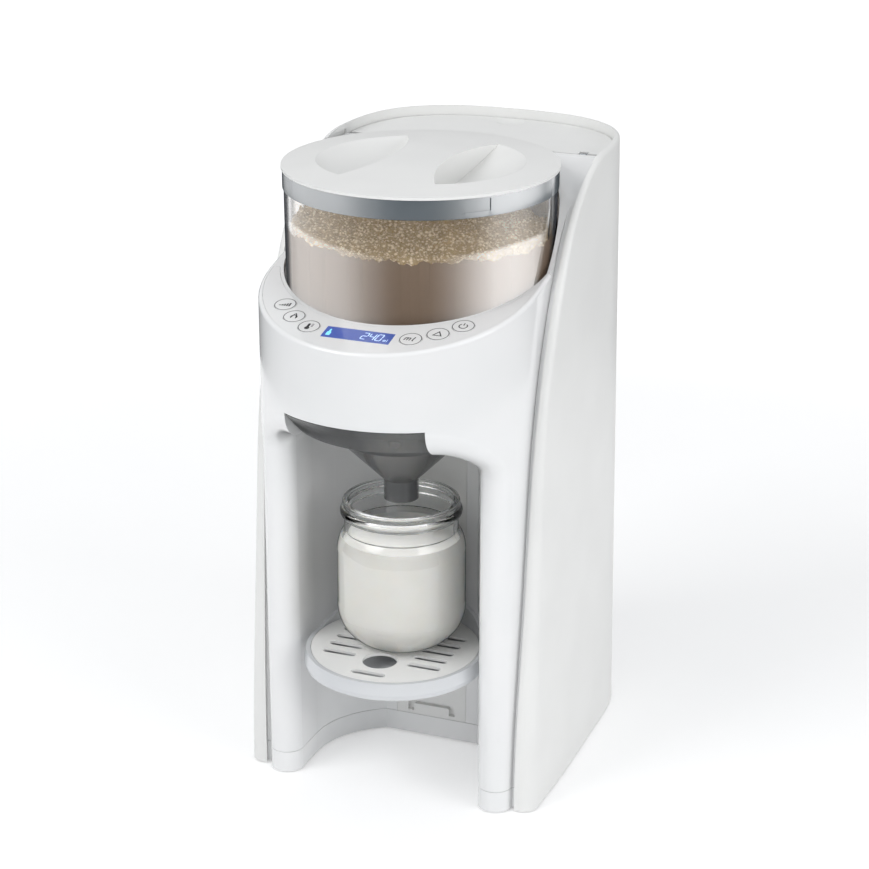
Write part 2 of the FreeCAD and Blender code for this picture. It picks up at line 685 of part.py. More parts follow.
def height_rail():
    """Plate with the hook slots, flush in a window of the alcove's back wall and flanged behind it."""
    back, rear = ALCOVE_BACK_Y, ALCOVE_BACK_Y + HOUSING_WALL
    face = block(-RAIL_HALF, RAIL_HALF, back, rear + RAIL_FLANGE_T, BASE_SEAM_Z, RAIL_TOP_Z)
    wide = RAIL_HALF + RAIL_FLANGE
    flange = block(-wide, wide, rear, rear + RAIL_FLANGE_T, BASE_SEAM_Z, RAIL_TOP_Z + RAIL_FLANGE)
    rail = face.fuse(flange).removeSplitter()
    for z in SLOT_HEIGHTS:
        rail = rail.cut(slot_shape(z, 0, back - 1, back + SLOT_DEPTH))
    return rail


# ---- control panel --------------------------------------------------------------------------

def control_panel():
    panel = panel_shape(0)
    for angle in button_places():
        panel = panel.cut(console_pin(console_frame(BUTTON_RING_R, angle), BUTTON_R + BUTTON_FIT, -4, 4))
    window = console_block(console_frame(WINDOW_RING_R, 0), WINDOW_W + 0.2, WINDOW_H + 0.2, -4, 4)
    return panel.cut(window)


def button(angle):
    centre = console_frame(BUTTON_RING_R, angle)
    cap = console_pin(centre, BUTTON_R, BUTTON_PROUD - BUTTON_T, BUTTON_PROUD)
    stem_foot = SWITCH_TOP - BOARD_DROP + BUTTON_TRAVEL + 0.1
    stem = console_pin(centre, 2.0, stem_foot, BUTTON_PROUD - BUTTON_T + 0.5)
    flange = console_pin(centre, BUTTON_R + 0.5, -PANEL_T - 1.2, -PANEL_T - 0.1).cut(well(2.4))
    return cap.fuse(stem).fuse(flange).removeSplitter()


def display_window():
    centre = console_frame(WINDOW_RING_R, 0)
    return console_block(centre, WINDOW_W, WINDOW_H, -PANEL_T, 0.1)


def display_module():
    centre = console_frame(WINDOW_RING_R, 0)
    return console_block(centre, WINDOW_W + 4, WINDOW_H + 3, BOARD_T - BOARD_DROP, -PANEL_T)


def control_board():
    board = sector(BOARD_R, BOARD_INNER_R, BOARD_HALF_ANGLE, ALCOVE_TOP, RIM_Z).cut(well(WELL_WALL + 0.6))
    board = board.common(panel_slab(BOARD_DROP - BOARD_T, BOARD_T))
    parts = [board]
    for angle in button_places():
        centre = console_frame(BUTTON_RING_R, angle)
        parts.append(console_block(centre, 6, 6, -BOARD_DROP, SWITCH_TOP - BOARD_DROP))
    return parts[0].multiFuse(parts[1:])


# ---- stand, plate and bottle ----------------------------------------------------------------

def bottle_stand():
    floor_z = STAND_TOP_Z - 11.2
    ledge_z = STAND_TOP_Z - PLATE_T
    profile = [
        (0, floor_z), (STAND_R - 6, floor_z), (STAND_R - 1.0, floor_z + 0.8),
        (STAND_BELLY_R - 0.4, floor_z + 2.2), (STAND_BELLY_R, floor_z + 4.5),
        (STAND_R + 0.6, floor_z + 8.5), (STAND_R, STAND_TOP_Z),
        (PLATE_R + 0.3, STAND_TOP_Z), (PLATE_R + 0.3, ledge_z), (PLATE_R - 1.5, ledge_z),
        (PLATE_R - 1.5, floor_z + 2.0), (0, floor_z + 2.0),
    ]
    tray = revolve(profile, 0, STAND_Y)
    guard_top = STAND_TOP_Z + 12.8
    guard = ring(STAND_R, STAND_R - 2.2, 0, STAND_Y, STAND_TOP_Z - 1.0, guard_top)
    y_low = STAND_Y + 6.0
    slope = [V(-60, y_low, STAND_TOP_Z), V(-60, STAND_Y + 44, guard_top), V(-60, STAND_Y + 60, guard_top),
             V(-60, STAND_Y + 60, STAND_TOP_Z - 2), V(-60, y_low, STAND_TOP_Z - 2)]
    wedge = Part.Face(Part.makePolygon(slope + [slope[0]])).extrude(V(120, 0, 0))
    reach = ALCOVE_BACK_Y + SLOT_DEPTH - 0.3
    hook = slot_shape(SLOT_HEIGHTS[-1], HOOK_FIT, STAND_Y + PLATE_R - 4, reach)
    hook = hook.cut(disc(PLATE_R - 1.5, 0, STAND_Y, floor_z, STAND_TOP_Z))
    hook = hook.cut(disc(PLATE_R + 0.3, 0, STAND_Y, ledge_z, STAND_TOP_Z))
    return tray.fuse(guard.common(wedge)).fuse(hook).removeSplitter()


def slot(x, y, length, r, z0, z1):
    half = length / 2 - r
    body = block(x - half, x + half, y - r, y + r, z0, z1)
    return body.fuse(disc(r, x - half, y, z0, z1)).fuse(disc(r, x + half, y, z0, z1))


def drip_plate():
    z0, z1 = STAND_TOP_Z - PLATE_T, STAND_TOP_Z
    plate = disc(PLATE_R, 0, STAND_Y, z0, z1)
    plate = plate.cut(disc(9.7, 0, STAND_Y - 22, z0 - 1, z1 + 1))
    plate = plate.cut(slot(0, STAND_Y - 38.6, DRIP_SLOT_LENGTH, DRIP_SLOT_R, z0 - 1, z1 + 1))
    for row in range(5):
        y = STAND_Y - 20 + 10 * row
        for side in (-1, 1):
            plate = plate.cut(slot(side * 25.4, y, DRIP_SLOT_LENGTH, DRIP_SLOT_R, z0 - 1, z1 + 1))
    return plate


def bottle():
    """Wide glass bottle: round foot, straight body, shoulder, thread bead and rim."""
    foot_z, t = STAND_TOP_Z, GLASS_T
    body_z, shoulder_z, neck_z = foot_z + 26.0, foot_z + 57.0, foot_z + 68.5
    bead_z = BOTTLE_RIM_Z - 6.0

    def v(r, z):
        return V(r, BOTTLE_Y, z)

    r, n, ri, ni = BOTTLE_R, BOTTLE_NECK_R, BOTTLE_R - t, BOTTLE_NECK_R - t
    turn = 0.29
    edges = [
        edge_line(v(0, foot_z), v(19, foot_z)),
        edge_arc(v(19, foot_z), v(r - 17.1 * turn - 0.6, foot_z + 26 * turn), v(r, body_z)),
        edge_line(v(r, body_z), v(r, shoulder_z)),
        edge_arc(v(r, shoulder_z), v(r - 1.5, shoulder_z + 6.4), v(n, neck_z)),
        edge_line(v(n, neck_z), v(n, bead_z - 3.0)),
        edge_arc(v(n, bead_z - 3.0), v(BOTTLE_NECK_R + 2.2, bead_z - 0.6), v(n, bead_z + 2.2)),
        edge_line(v(n, bead_z + 2.2), v(n, BOTTLE_RIM_Z - 2.2)),
        edge_arc(v(n, BOTTLE_RIM_Z - 2.2), v(n + 0.9, BOTTLE_RIM_Z - 1.0), v(n - 0.2, BOTTLE_RIM_Z)),
        edge_line(v(n - 0.2, BOTTLE_RIM_Z), v(ni + 0.2, BOTTLE_RIM_Z)),
        edge_line(v(ni + 0.2, BOTTLE_RIM_Z), v(ni, BOTTLE_RIM_Z - 1.5)),
        edge_line(v(ni, BOTTLE_RIM_Z - 1.5), v(ni, neck_z)),
        edge_arc(v(ni, neck_z), v(ri - 1.5, shoulder_z + 6.0), v(ri, shoulder_z)),
        edge_line(v(ri, shoulder_z), v(ri, body_z)),
        edge_arc(v(ri, body_z), v(ri - 17.1 * turn - 0.6, foot_z + t + 0.8 + 23 * turn),
                 v(18, foot_z + t + 0.8)),
        edge_line(v(18, foot_z + t + 0.8), v(0, foot_z + t + 0.8)),
        edge_line(v(0, foot_z + t + 0.8), v(0, foot_z)),
    ]
    return face_of(edges).revolve(V(0, BOTTLE_Y, 0), Z_AXIS, 360)


# ---- funnel ---------------------------------------------------------------------------------

def fascia():
    """Slanted front of the funnel, from the housing's face in to the roof of the arch."""
    foot_r, foot_z = FACE_R - ARCH_ROUND_R, ALCOVE_TOP
    depth = FASCIA_T * sqrt(2)
    profile = [V(foot_r, FACE_Y, foot_z), V(FACE_R, FACE_Y, foot_z + ARCH_ROUND_R),
               V(FACE_R - depth, FACE_Y, foot_z + ARCH_ROUND_R), V(foot_r - depth, FACE_Y, foot_z)]
    slant = Part.Face(Part.makePolygon(profile + [profile[0]])).revolve(V(0, FACE_Y, 0), Z_AXIS, 360)
    return slant.common(block(-FASCIA_HALF, FASCIA_HALF, FRONT_Y - 1, NOTCH_BACK_Y, 0, RIM_Z))


def mixing_funnel():
    w = FUNNEL_WALL
    cone_top = SPOUT_TOP_Z + (BOWL_R - SPOUT_R)
    slant = w * tan(pi / 8)
    profile = [
        (SPOUT_R - w, SPOUT_FOOT_Z), (SPOUT_R, SPOUT_FOOT_Z), (SPOUT_R, SPOUT_TOP_Z), (BOWL_R, cone_top),
        (BOWL_R, FLANGE_Z + w), (BOWL_R - w, FLANGE_Z + w), (BOWL_R - w, cone_top + slant),
        (SPOUT_R - w, SPOUT_TOP_Z + slant),
    ]
    bowl = revolve(profile, 0, FUNNEL_Y)
    flange = block(-FASCIA_HALF + 0.3, FASCIA_HALF - 0.3, FRONT_Y, STAND_Y + 47, FLANGE_Z, FLANGE_Z + w)
    slant_r = FACE_R - ARCH_ROUND_R + FLANGE_Z - ALCOVE_TOP
    flange = flange.common(disc(slant_r - 0.5, 0, FACE_Y, 0, RIM_Z))
    flange = flange.cut(disc(BOWL_R - w, 0, FUNNEL_Y, 0, RIM_Z))
    return bowl.fuse(flange).fuse(fascia()).removeSplitter()


def funnel_rail(side):
    """Hanger and ledge that one edge of the funnel's flange slides on."""
    x0 = FASCIA_HALF + 0.1
    y0, y1 = NOTCH_BACK_Y + 0.3, STAND_Y + 48
    web = block(x0, x0 + 2.0, y0, y1, FLANGE_Z - 2.2, DECK_PLATE_Z)
    ledge = block(BOWL_R + 0.8, x0 + 1, y0, y1, FLANGE_Z - 2.2, FLANGE_Z - 0.1)
    rail = web.fuse(ledge).removeSplitter()
    return rail if side > 0 else rail.mirror(V(0, 0, 0), X_AXIS)


# ---- hopper, metering and lid ---------------------------------------------------------------

def powder_hopper():
    """Clear cup with a stepped neck for the lid; the floor has the outlet and the hub hole."""
    t = HOPPER_WALL
    foot, neck_z = HOPPER_FOOT_Z, HOPPER_RIM_Z - 9.2
    ledge_z = wheel_z() + WHEEL_T + 0.4
    floor_z = foot + HOPPER_FLOOR_T
    neck_r = NECK_R
    profile = [
        (0, foot), (HOPPER_R - 1.2, foot), (HOPPER_R - 0.6, foot + 2), (HOPPER_R, neck_z),
        (neck_r, neck_z), (neck_r, HOPPER_RIM_Z), (neck_r - t, HOPPER_RIM_Z), (neck_r - t, neck_z - 1),
        (HOPPER_R - 0.5 - t, ledge_z), (HOPPER_R - 3 - t, ledge_z),
        (HOPPER_R - 3 - t, floor_z), (0, floor_z),
    ]
    cup = revolve(profile, 0, HOPPER_Y)
    cup = cup.cut(disc(WHEEL_HUB_R + 0.08, 0, HOPPER_Y, foot - 1, foot + 4))
    return cup.cut(disc(OUTLET_R, 0, HOPPER_Y - OUTLET_REACH, foot - 1, foot + 4))


def wheel_z():
    return HOPPER_FOOT_Z + HOPPER_FLOOR_T + RUN_FIT


def metering_wheel():
    """Wheel with a ring of dosing pockets and a square socket for the drive dog."""
    z0 = wheel_z()
    z1 = z0 + WHEEL_T
    wheel = disc(WHEEL_R, 0, HOPPER_Y, z0, z1)
    wheel = wheel.fuse(disc(WHEEL_HUB_R, 0, HOPPER_Y, HOPPER_FOOT_Z + 1.3, z0 + 1))
    wheel = wheel.fuse(disc(WHEEL_HUB_R, 0, HOPPER_Y, z1 - 1, z1 + 2.4))
    for i in range(WHEEL_POCKETS):
        a = 2 * pi * i / WHEEL_POCKETS + pi / WHEEL_POCKETS
        x, y = OUTLET_REACH * sin(a), HOPPER_Y - OUTLET_REACH * cos(a)
        wheel = wheel.cut(disc(OUTLET_R, x, y, z0 - 1, z1 + 1))
    half = DOG_W / 2 + 0.2
    socket = block(-half, half, HOPPER_Y - half, HOPPER_Y + half, HOPPER_FOOT_Z - 1, z0 + 7)
    return wheel.cut(socket)


def wheel_cover():
    """Fixed plate over the wheel: powder enters the pockets through its window, away from the outlet."""
    z0 = wheel_z() + WHEEL_T + 0.4
    plate = disc(HOPPER_R - HOPPER_WALL - 0.9, 0, HOPPER_Y, z0, z0 + 1.6)
    plate = plate.cut(disc(WHEEL_HUB_R + 0.4, 0, HOPPER_Y, z0 - 1, z0 + 3))
    window = ring(WHEEL_R - 2, OUTLET_REACH - OUTLET_R - 1, 0, HOPPER_Y, z0 - 1, z0 + 3)
    return plate.cut(window.common(block(-60, 60, HOPPER_Y + 4, HOPPER_Y + 60, z0 - 1, z0 + 3)))


def stirrer():
    z0 = wheel_z() + WHEEL_T + 2.4
    hub = disc(WHEEL_HUB_R, 0, HOPPER_Y, z0, z0 + 9)
    dome = Part.makeSphere(WHEEL_HUB_R, V(0, HOPPER_Y, z0 + 9))
    hub = hub.fuse(dome.common(disc(20, 0, HOPPER_Y, z0 + 9, z0 + 30)))
    for i in range(3):
        blade = block(0, STIRRER_REACH, HOPPER_Y - 2.2, HOPPER_Y + 2.2, z0 + 1.6, z0 + 5.6)
        tip = block(STIRRER_REACH - 5, STIRRER_REACH, HOPPER_Y - 2.2, HOPPER_Y + 2.2, z0 + 5, z0 + 16)
        arm = blade.fuse(tip)
        arm.rotate(V(0, HOPPER_Y, 0), Z_AXIS, 120 * i + 30)
        hub = hub.fuse(arm)
    return hub.removeSplitter()


def dome_z(r, drop=0.0):
    return LID_EDGE_Z + LID_DOME * (1 - (r / LID_R) ** 2) - drop


def dome_solid(r, drop, z_low):
    """Space under the lid's shallow dome, from a floor height up."""
    top, mid = dome_z(0, drop), dome_z(r / 2, drop)
    edges = [
        edge_arc(V(0, HOPPER_Y, top), V(r / 2, HOPPER_Y, mid), V(r, HOPPER_Y, dome_z(r, drop))),
        edge_line(V(r, HOPPER_Y, dome_z(r, drop)), V(r, HOPPER_Y, z_low)),
        edge_line(V(r, HOPPER_Y, z_low), V(0, HOPPER_Y, z_low)),
        edge_line(V(0, HOPPER_Y, z_low), V(0, HOPPER_Y, top)),
    ]
    return face_of(edges).revolve(V(0, HOPPER_Y, 0), Z_AXIS, 360)


def grip_recess(side, grow=0.0):
    """Leaf-shaped scoop beside the grip bar: a round floor cut off by a curved wall."""
    a = (GRIP_HALF_LENGTH ** 2 + GRIP_REACH ** 2) / (2 * GRIP_REACH)
    top = LID_EDGE_Z + 1.4
    ball_x = GRIP_HALF + GRIP_REACH - a
    ball_z = top + sqrt(GRIP_BALL_R ** 2 - a ** 2)
    ball = Part.makeSphere(GRIP_BALL_R + grow, V(side * ball_x, HOPPER_Y, ball_z))
    wall_r = (GRIP_HALF_LENGTH ** 2 + GRIP_WAIST ** 2) / (2 * GRIP_WAIST)
    wall_x = side * (GRIP_HALF - GRIP_WAIST + wall_r)
    wall = disc(wall_r + grow, wall_x, HOPPER_Y, LID_EDGE_Z - 40, LID_EDGE_Z + 8)
    return ball.common(wall)


def powder_lid():
    """Domed cap with two finger scoops that leave a grip bar, and a plug ring for the seal."""
    t = LID_T
    cap = dome_solid(LID_R, 0, LID_EDGE_Z - 1.5)
    inside = dome_solid(LID_R - 3.2, t, LID_EDGE_Z - 30)
    bowls = grip_recess(1, t).fuse(grip_recess(-1, t)).common(dome_solid(LID_R - 4, t / 2, LID_EDGE_Z - 30))
    cap = cap.cut(inside).fuse(bowls)
    cap = cap.fuse(ring(PLUG_R, PLUG_R - 2.0, 0, HOPPER_Y, LID_EDGE_Z - 10, LID_EDGE_Z - 1).cut(bowls))
    cap = cap.fuse(ring(HOPPER_R - 1.8, PLUG_R - 1.0, 0, HOPPER_Y, HOPPER_RIM_Z + RUN_FIT, LID_EDGE_Z - 1))
    for side in (1, -1):
        cap = cap.cut(grip_recess(side))
    return cap.removeSplitter()


def band_sector(angle_0, angle_1, r_in, z0, z1):
    """A piece of ring about the hopper's axis; angles are from the front towards +X."""
    shape = ring(LID_R, r_in, 0, HOPPER_Y, z0, z1)
    a0, a1 = radians(angle_0 - 90), radians(angle_1 - 90)
    reach = 2 * LID_R
    corners = [V(0, HOPPER_Y, z0), V(reach * cos(a0), HOPPER_Y + reach * sin(a0), z0),
               V(reach * cos(a1), HOPPER_Y + reach * sin(a1), z0)]
    wedge = Part.Face(Part.makePolygon(corners + [corners[0]])).extrude(V(0, 0, z1 - z0))
    return shape.common(wedge)


def lid_band():
    """Band under the lid, with three L-shaped bayonet tracks sunk in its outer face."""
    top = LID_EDGE_Z - LID_RIM_H
    outer = LID_R - BAND_STEP
    band = ring(outer, NECK_R + NECK_GAP, 0, HOPPER_Y, top - BAND_H, top)
    floor_r = outer - TRACK_DEPTH
    low = top - TRACK_DROP
    for i in range(3):
        start = TRACK_ANGLE + 120 * i
        band = band.cut(band_sector(start, start + TRACK_SPAN, floor_r, low, low + TRACK_W))
        edge = start + TRACK_SPAN
        band = band.cut(band_sector(edge - TRACK_W_ANGLE, edge, floor_r, low, top - 1.0))
        a = radians(start - 90)
        band = band.cut(disc(TRACK_W, floor_r * cos(a), HOPPER_Y + floor_r * sin(a), low - 0.5,
                             low + TRACK_W + 0.5)
                        .cut(disc(floor_r, 0, HOPPER_Y, 0, RIM_Z * 2)))
    return band


def lid_seal():
    neck_in = NECK_R - HOPPER_WALL
    return ring(neck_in - RUN_FIT, PLUG_R + RUN_FIT, 0, HOPPER_Y, HOPPER_RIM_Z - 6.5, HOPPER_RIM_Z - 2.5)


# ---- drive ----------------------------------------------------------------------------------

def gear_profile(teeth, x, y, phase, z):
    """Gear outline with straight-flanked teeth; backlash is left at the pitch circle."""
    pitch = GEAR_MODULE * teeth / 2
    tip, root = pitch + 0.9 * GEAR_MODULE, pitch - 1.15 * GEAR_MODULE
    step = 2 * pi / teeth
    points = []
    for i in range(teeth):
        flank = ((root, -0.36), (pitch, -0.228), (tip, -0.12))
        for r, share in flank + tuple((r, -share) for r, share in reversed(flank)):
            a = phase + (i + share) * step
            points.append(V(x + r * cos(a), y + r * sin(a), z))
    return Part.Face(Part.makePolygon(points + [points[0]]))


def motor_y():
    return HOPPER_Y + GEAR_MODULE * (GEAR_TEETH + PINION_TEETH) / 2


def drive_gear():
    """Large gear with a shaft up through the bush and a square dog for the metering wheel."""
    gear = gear_profile(GEAR_TEETH, 0, HOPPER_Y, pi / 2, GEAR_Z).extrude(V(0, 0, GEAR_T))
    shaft = disc(SHAFT_R, 0, HOPPER_Y, GEAR_Z + 1, DECK_TOP_Z)
    half = DOG_W / 2
    dog = block(-half, half, HOPPER_Y - half, HOPPER_Y + half, DECK_TOP_Z - 1, wheel_z() + 6)
    shaft = shaft.fuse(disc(SHAFT_R + 1.4, 0, HOPPER_Y, DECK_TOP_Z + RUN_FIT, DECK_TOP_Z + 1.0))
    shaft = shaft.fuse(disc(SHAFT_R, 0, HOPPER_Y, DECK_TOP_Z - 1, DECK_TOP_Z + 0.5))
    for i in range(6):
        a = i * pi / 3
        x, y = 16 * cos(a), HOPPER_Y + 16 * sin(a)
        gear = gear.cut(disc(4.5, x, y, GEAR_Z - 1, GEAR_Z + GEAR_T + 1))
    return gear.fuse(shaft).fuse(dog).removeSplitter()


def motor_pinion():
    phase = -pi / 2 + pi / PINION_TEETH
    pinion = gear_profile(PINION_TEETH, 0, motor_y(), phase, GEAR_Z - 0.3).extrude(V(0, 0, GEAR_T + 0.6))
    shaft = disc(2.5, 0, motor_y(), MOTOR_TOP_Z - 8 + RUN_FIT, GEAR_Z)
    return pinion.fuse(shaft).removeSplitter()


def drive_bush():
    """Plain bearing in the deck for the drive gear's shaft, with a flange above."""
    return ring(SHAFT_R + 2.0, SHAFT_R + RUN_FIT, 0, HOPPER_Y, DECK_PLATE_Z - 1.5, DECK_TOP_Z)


def powder_chute():
    """Slanted spout under the deck that leads the powder past the gear into the funnel."""
    y = HOPPER_Y - OUTLET_REACH
    low_y, low_z = y - 3.2, FLANGE_Z + 4.0

    def cone(less):
        top = Part.Wire(Part.makeCircle(OUTLET_R + 1.0 - less, V(0, y, DECK_PLATE_Z), Z_AXIS))
        foot = Part.Wire(Part.makeCircle(OUTLET_R - 0.3 - less, V(0, low_y, low_z), Z_AXIS))
        return Part.makeLoft([foot, top], True, True)

    flange = disc(OUTLET_R + 5, 0, y, DECK_PLATE_Z - 1.8, DECK_PLATE_Z)
    flange = flange.common(block(-20, 20, y - 20, y + 8.8, low_z, DECK_PLATE_Z))
    return flange.fuse(cone(0)).cut(cone(1.0)).removeSplitter()


def gear_motor():
    body = disc(MOTOR_R, 0, motor_y(), MOTOR_TOP_Z - 64, MOTOR_TOP_Z - 18)
    gearbox = disc(MOTOR_R + 1, 0, motor_y(), MOTOR_TOP_Z - 18, MOTOR_TOP_Z)
    tail = disc(5, 0, motor_y(), MOTOR_TOP_Z - 68, MOTOR_TOP_Z - 64)
    motor = body.fuse(gearbox).fuse(tail)
    return motor.cut(disc(2.5 + RUN_FIT, 0, motor_y(), MOTOR_TOP_Z - 8, MOTOR_TOP_Z + 1))


def motor_bracket():
    """Bridge under the deck that the gearbox face is screwed to."""
    z0, z1 = MOTOR_TOP_Z, MOTOR_TOP_Z + 2.0
    y0, y1 = motor_y() - 12, motor_y() + 12
    plate = block(-32, 32, y0, y1, z0, z1).cut(disc(6, 0, motor_y(), z0 - 1, z1 + 1))
    for side in (-1, 1):
        x = side * 31
        leg = block(x - 1, x + 1, y0, y1, z0, DECK_PLATE_Z)
        foot = block(min(x, x + side * 8), max(x, x + side * 8), y0, y1, DECK_PLATE_Z - 2, DECK_PLATE_Z)
        plate = plate.fuse(leg).fuse(foot)
    return plate.removeSplitter()


# ---- water tank -----------------------------------------------------------------------------

def tank_plan(z0, z1, inset, front):
    """Upright block inside the cover where it is narrowest between two heights."""
    narrow_z = RIM_Z if COVER_HALF_TOP < COVER_HALF_FOOT else z0
    solid = Part.Face(cover_wire(narrow_z, COVER_WALL + inset)).extrude(V(0, 0, z1 - z0))
    solid.translate(V(0, 0, z0 - narrow_z))
    return solid.common(block(-100, 100, front, BACK_Y + 1, z0 - 1, z1 + 1))


def water_tank():
    """Open tank with a valve collar under its floor and ears for the lid's pins."""
    front = DECK_DEPTH_Y + TANK_FIT
    w = TANK_WALL
    tank = tank_plan(TANK_FLOOR_Z, TANK_RIM_Z, TANK_FIT, front)
    tank = tank.cut(tank_plan(TANK_FLOOR_Z + w + 0.5, RIM_Z, TANK_FIT + w, front + w))
    tank = tank.cut(block(-66.5, 66.5, front - 1, front + w + 0.5, HINGE_Z - 4.2, RIM_Z))
    for side in (-1, 1):
        x = side * 64.4
        ear = block(x - 1.8, x + 1.8, front, HINGE_Y + 2.2, HINGE_Z - 14, HINGE_Z + 2.0)
        tank = tank.fuse(ear)
        bore = Part.makeCylinder(HINGE_PIN_R + RUN_FIT, 8, V(x - 4, HINGE_Y, HINGE_Z), X_AXIS)
        tank = tank.cut(bore)
    tank = tank.fuse(ring(VALVE_R + 1.5, VALVE_R, 0, VALVE_Y, TANK_FLOOR_Z - 7, TANK_FLOOR_Z + 1))
    return tank.cut(disc(VALVE_R, 0, VALVE_Y, TANK_FLOOR_Z - 8, TANK_FLOOR_Z + 4)).removeSplitter()


def tank_lid():
    """Flat lid inside the cover's rim, with two hinge barrels and a finger scoop at the back."""
    z1 = HINGE_Z + 2.2
    lid = tank_plan(z1 - TANK_LID_T, z1, 0.8, HINGE_Y - 2.2)
    for x0, x1 in ((-67, -61.8), (61.8, 67)):
        lid = lid.cut(block(x0, x1, HINGE_Y - 3, HINGE_Y + 3.4, z1 - 8, z1 + 1))
    for x0, x1 in ((-100, -66.3), (66.3, 100)):
        lid = lid.cut(block(x0, x1, HINGE_Y - 3, HINGE_Y + 0.3, z1 - 8, z1 + 1))
    for side in (-1, 1):
        x = 50.0 if side > 0 else -62.0
        lid = lid.fuse(Part.makeCylinder(2.2, 12, V(x, HINGE_Y, HINGE_Z), X_AXIS))
        lid = lid.cut(Part.makeCylinder(HINGE_PIN_R, 14, V(x - 1, HINGE_Y, HINGE_Z), X_AXIS))
    scoop = Part.makeSphere(26.0, V(0, BACK_Y - 13, z1 + 24.6))
    return lid.cut(scoop).removeSplitter()


def lid_hinge_pins():
    return [Part.makeCylinder(HINGE_PIN_R, 15.5, V(50.5 if side > 0 else -66.0, HINGE_Y, HINGE_Z), X_AXIS)
            for side in (-1, 1)]


def tank_valve():
    """Plunger that opens when the tank is set down on the pin of its seat."""
    disc_z = TANK_FLOOR_Z + TANK_WALL + 0.5 + 0.3
    head = disc(VALVE_R + 1.6, 0, VALVE_Y, disc_z, disc_z + 2.0)
    stem = disc(1.8, 0, VALVE_Y, VALVE_PIN_Z + 0.1, disc_z + 1)
    guide = block(-VALVE_R + 0.3, VALVE_R - 0.3, VALVE_Y - 0.8, VALVE_Y + 0.8, TANK_FLOOR_Z - 4, disc_z + 0.5)
    return head.fuse(stem).fuse(guide).removeSplitter()


def valve_seat():
    """Cup under the shelf with the pin that lifts the plunger and the hose nipple."""
    top = TANK_FLOOR_Z - SHELF_T
    cup_r = VALVE_R + 3.2
    cup = disc(cup_r + 2.0, 0, VALVE_Y, top - 12, top).cut(disc(cup_r, 0, VALVE_Y, top - 10, top + 1))
    cup = cup.fuse(disc(1.6, 0, VALVE_Y, top - 11, VALVE_PIN_Z))
    cup = cup.fuse(disc(HOSE_R + 1.0, 0, VALVE_Y + 5.5, top - 12, top - 9.5))
    nipple = ring(HOSE_R, HOSE_R - 1.2, 0, VALVE_Y + 5.5, top - 20, top - 11)
    cup = cup.cut(disc(HOSE_R - 1.2, 0, VALVE_Y + 5.5, top - 21, top - 9))
    return cup.fuse(nipple).removeSplitter()


def valve_seal():
    top = TANK_FLOOR_Z - SHELF_T
    return ring(VALVE_R + 3.2, VALVE_R + 1.6, 0, VALVE_Y, top - 6, top - 3)


def tank_shelf():
    """Shelf under the tank on four posts, screwed to the base from below."""
    top = TANK_FLOOR_Z
    fit = COVER_WALL + SEAM_GAP
    shelf = cover_block(top - SHELF_T, top, fit)
    rear = block(-100, 100, DECK_DEPTH_Y - 2, BACK_Y, top - SHELF_T - 1, top + 1)
    arms = [block(x - 10, x + 10, STAND_Y + 68, DECK_DEPTH_Y, top - SHELF_T - 1, top + 1)
            for x in (-72, 72)]
    shelf = shelf.common(rear.multiFuse(arms))
    for x, y in screw_places():
        post = disc(4.5, x, y, FOOT_GAP + 11.0, top - 1)
        shelf = shelf.fuse(post)
        shelf = shelf.cut(disc(1.3, x, y, FOOT_GAP + 10, FOOT_GAP + 24))
    return shelf.cut(disc(VALVE_R + 3.4, 0, VALVE_Y, top - 10, top + 2)).removeSplitter()


# ---- water path -----------------------------------------------------------------------------

def hose(points, r):
    """Round hose along straight runs joined by tangent arcs as large as the runs allow."""
    path = []
    start = points[0]
    for i in range(1, len(points) - 1):
        before, corner, after = points[i - 1], points[i], points[i + 1]
        u = (before - corner).normalize()
        w = (after - corner).normalize()
        run = min((before - corner).Length, (after - corner).Length)
        reach = 0.45 * run
        half_turn = u.getAngle(w) / 2
        p, q = corner + u * reach, corner + w * reach
        middle = (u + w).normalize()
        radius = reach * tan(half_turn)
        centre = corner + middle * (reach / cos(half_turn))
        if (p - start).Length > 1e-6:
            path.append(edge_line(start, p))
        path.append(edge_arc(p, centre - middle * radius, q))
        start = q
    path.append(edge_line(start, points[-1]))
    first = points[1] - points[0]
    section = Part.Wire(Part.makeCircle(r, points[0], first))
    return Part.Wire(path).makePipeShell([section], True, True)


def water_pump():
    z0 = FLOOR_Z
    pump = disc(15, PUMP_X, PUMP_Y, z0, z0 + 34).fuse(disc(12.5, PUMP_X, PUMP_Y, z0 + 34, z0 + 54))
    for dx in (-6, 6):
        pump = pump.fuse(disc(HOSE_R, PUMP_X + dx, PUMP_Y, z0 + 53, z0 + 62))
    return pump.removeSplitter()


def heater():
    """Flow heater: a finned can with a port low at its back and one on top."""
    z0 = FLOOR_Z
    can = disc(HEATER_R - 2, HEATER_X, HEATER_Y, z0, HEATER_TOP_Z)
    for i in range(9):
        z = z0 + 8 + 10 * i
        can = can.fuse(disc(HEATER_R, HEATER_X, HEATER_Y, z, z + 3))
    can = can.fuse(disc(HOSE_R, HEATER_X, HEATER_Y, HEATER_TOP_Z - 1, HEATER_TOP_Z + 8))
    port = Part.makeCylinder(HOSE_R, 12, V(HEATER_X, HEATER_Y + HEATER_R - 4, z0 + 22), Y_AXIS)
    return can.fuse(port).removeSplitter()


def suction_hose():
    z_seat = TANK_FLOOR_Z - SHELF_T - 20
    z_pump = FLOOR_Z + 62
    x, y = PUMP_X + 6, PUMP_Y
    return hose([V(0, VALVE_Y + 5.5, z_seat), V(0, VALVE_Y + 5.5, z_seat - 22),
                 V(24, VALVE_Y - 14, z_seat - 26),
                 V(x, y + 20, z_pump + 24), V(x, y, z_pump + 18), V(x, y, z_pump)], HOSE_R)


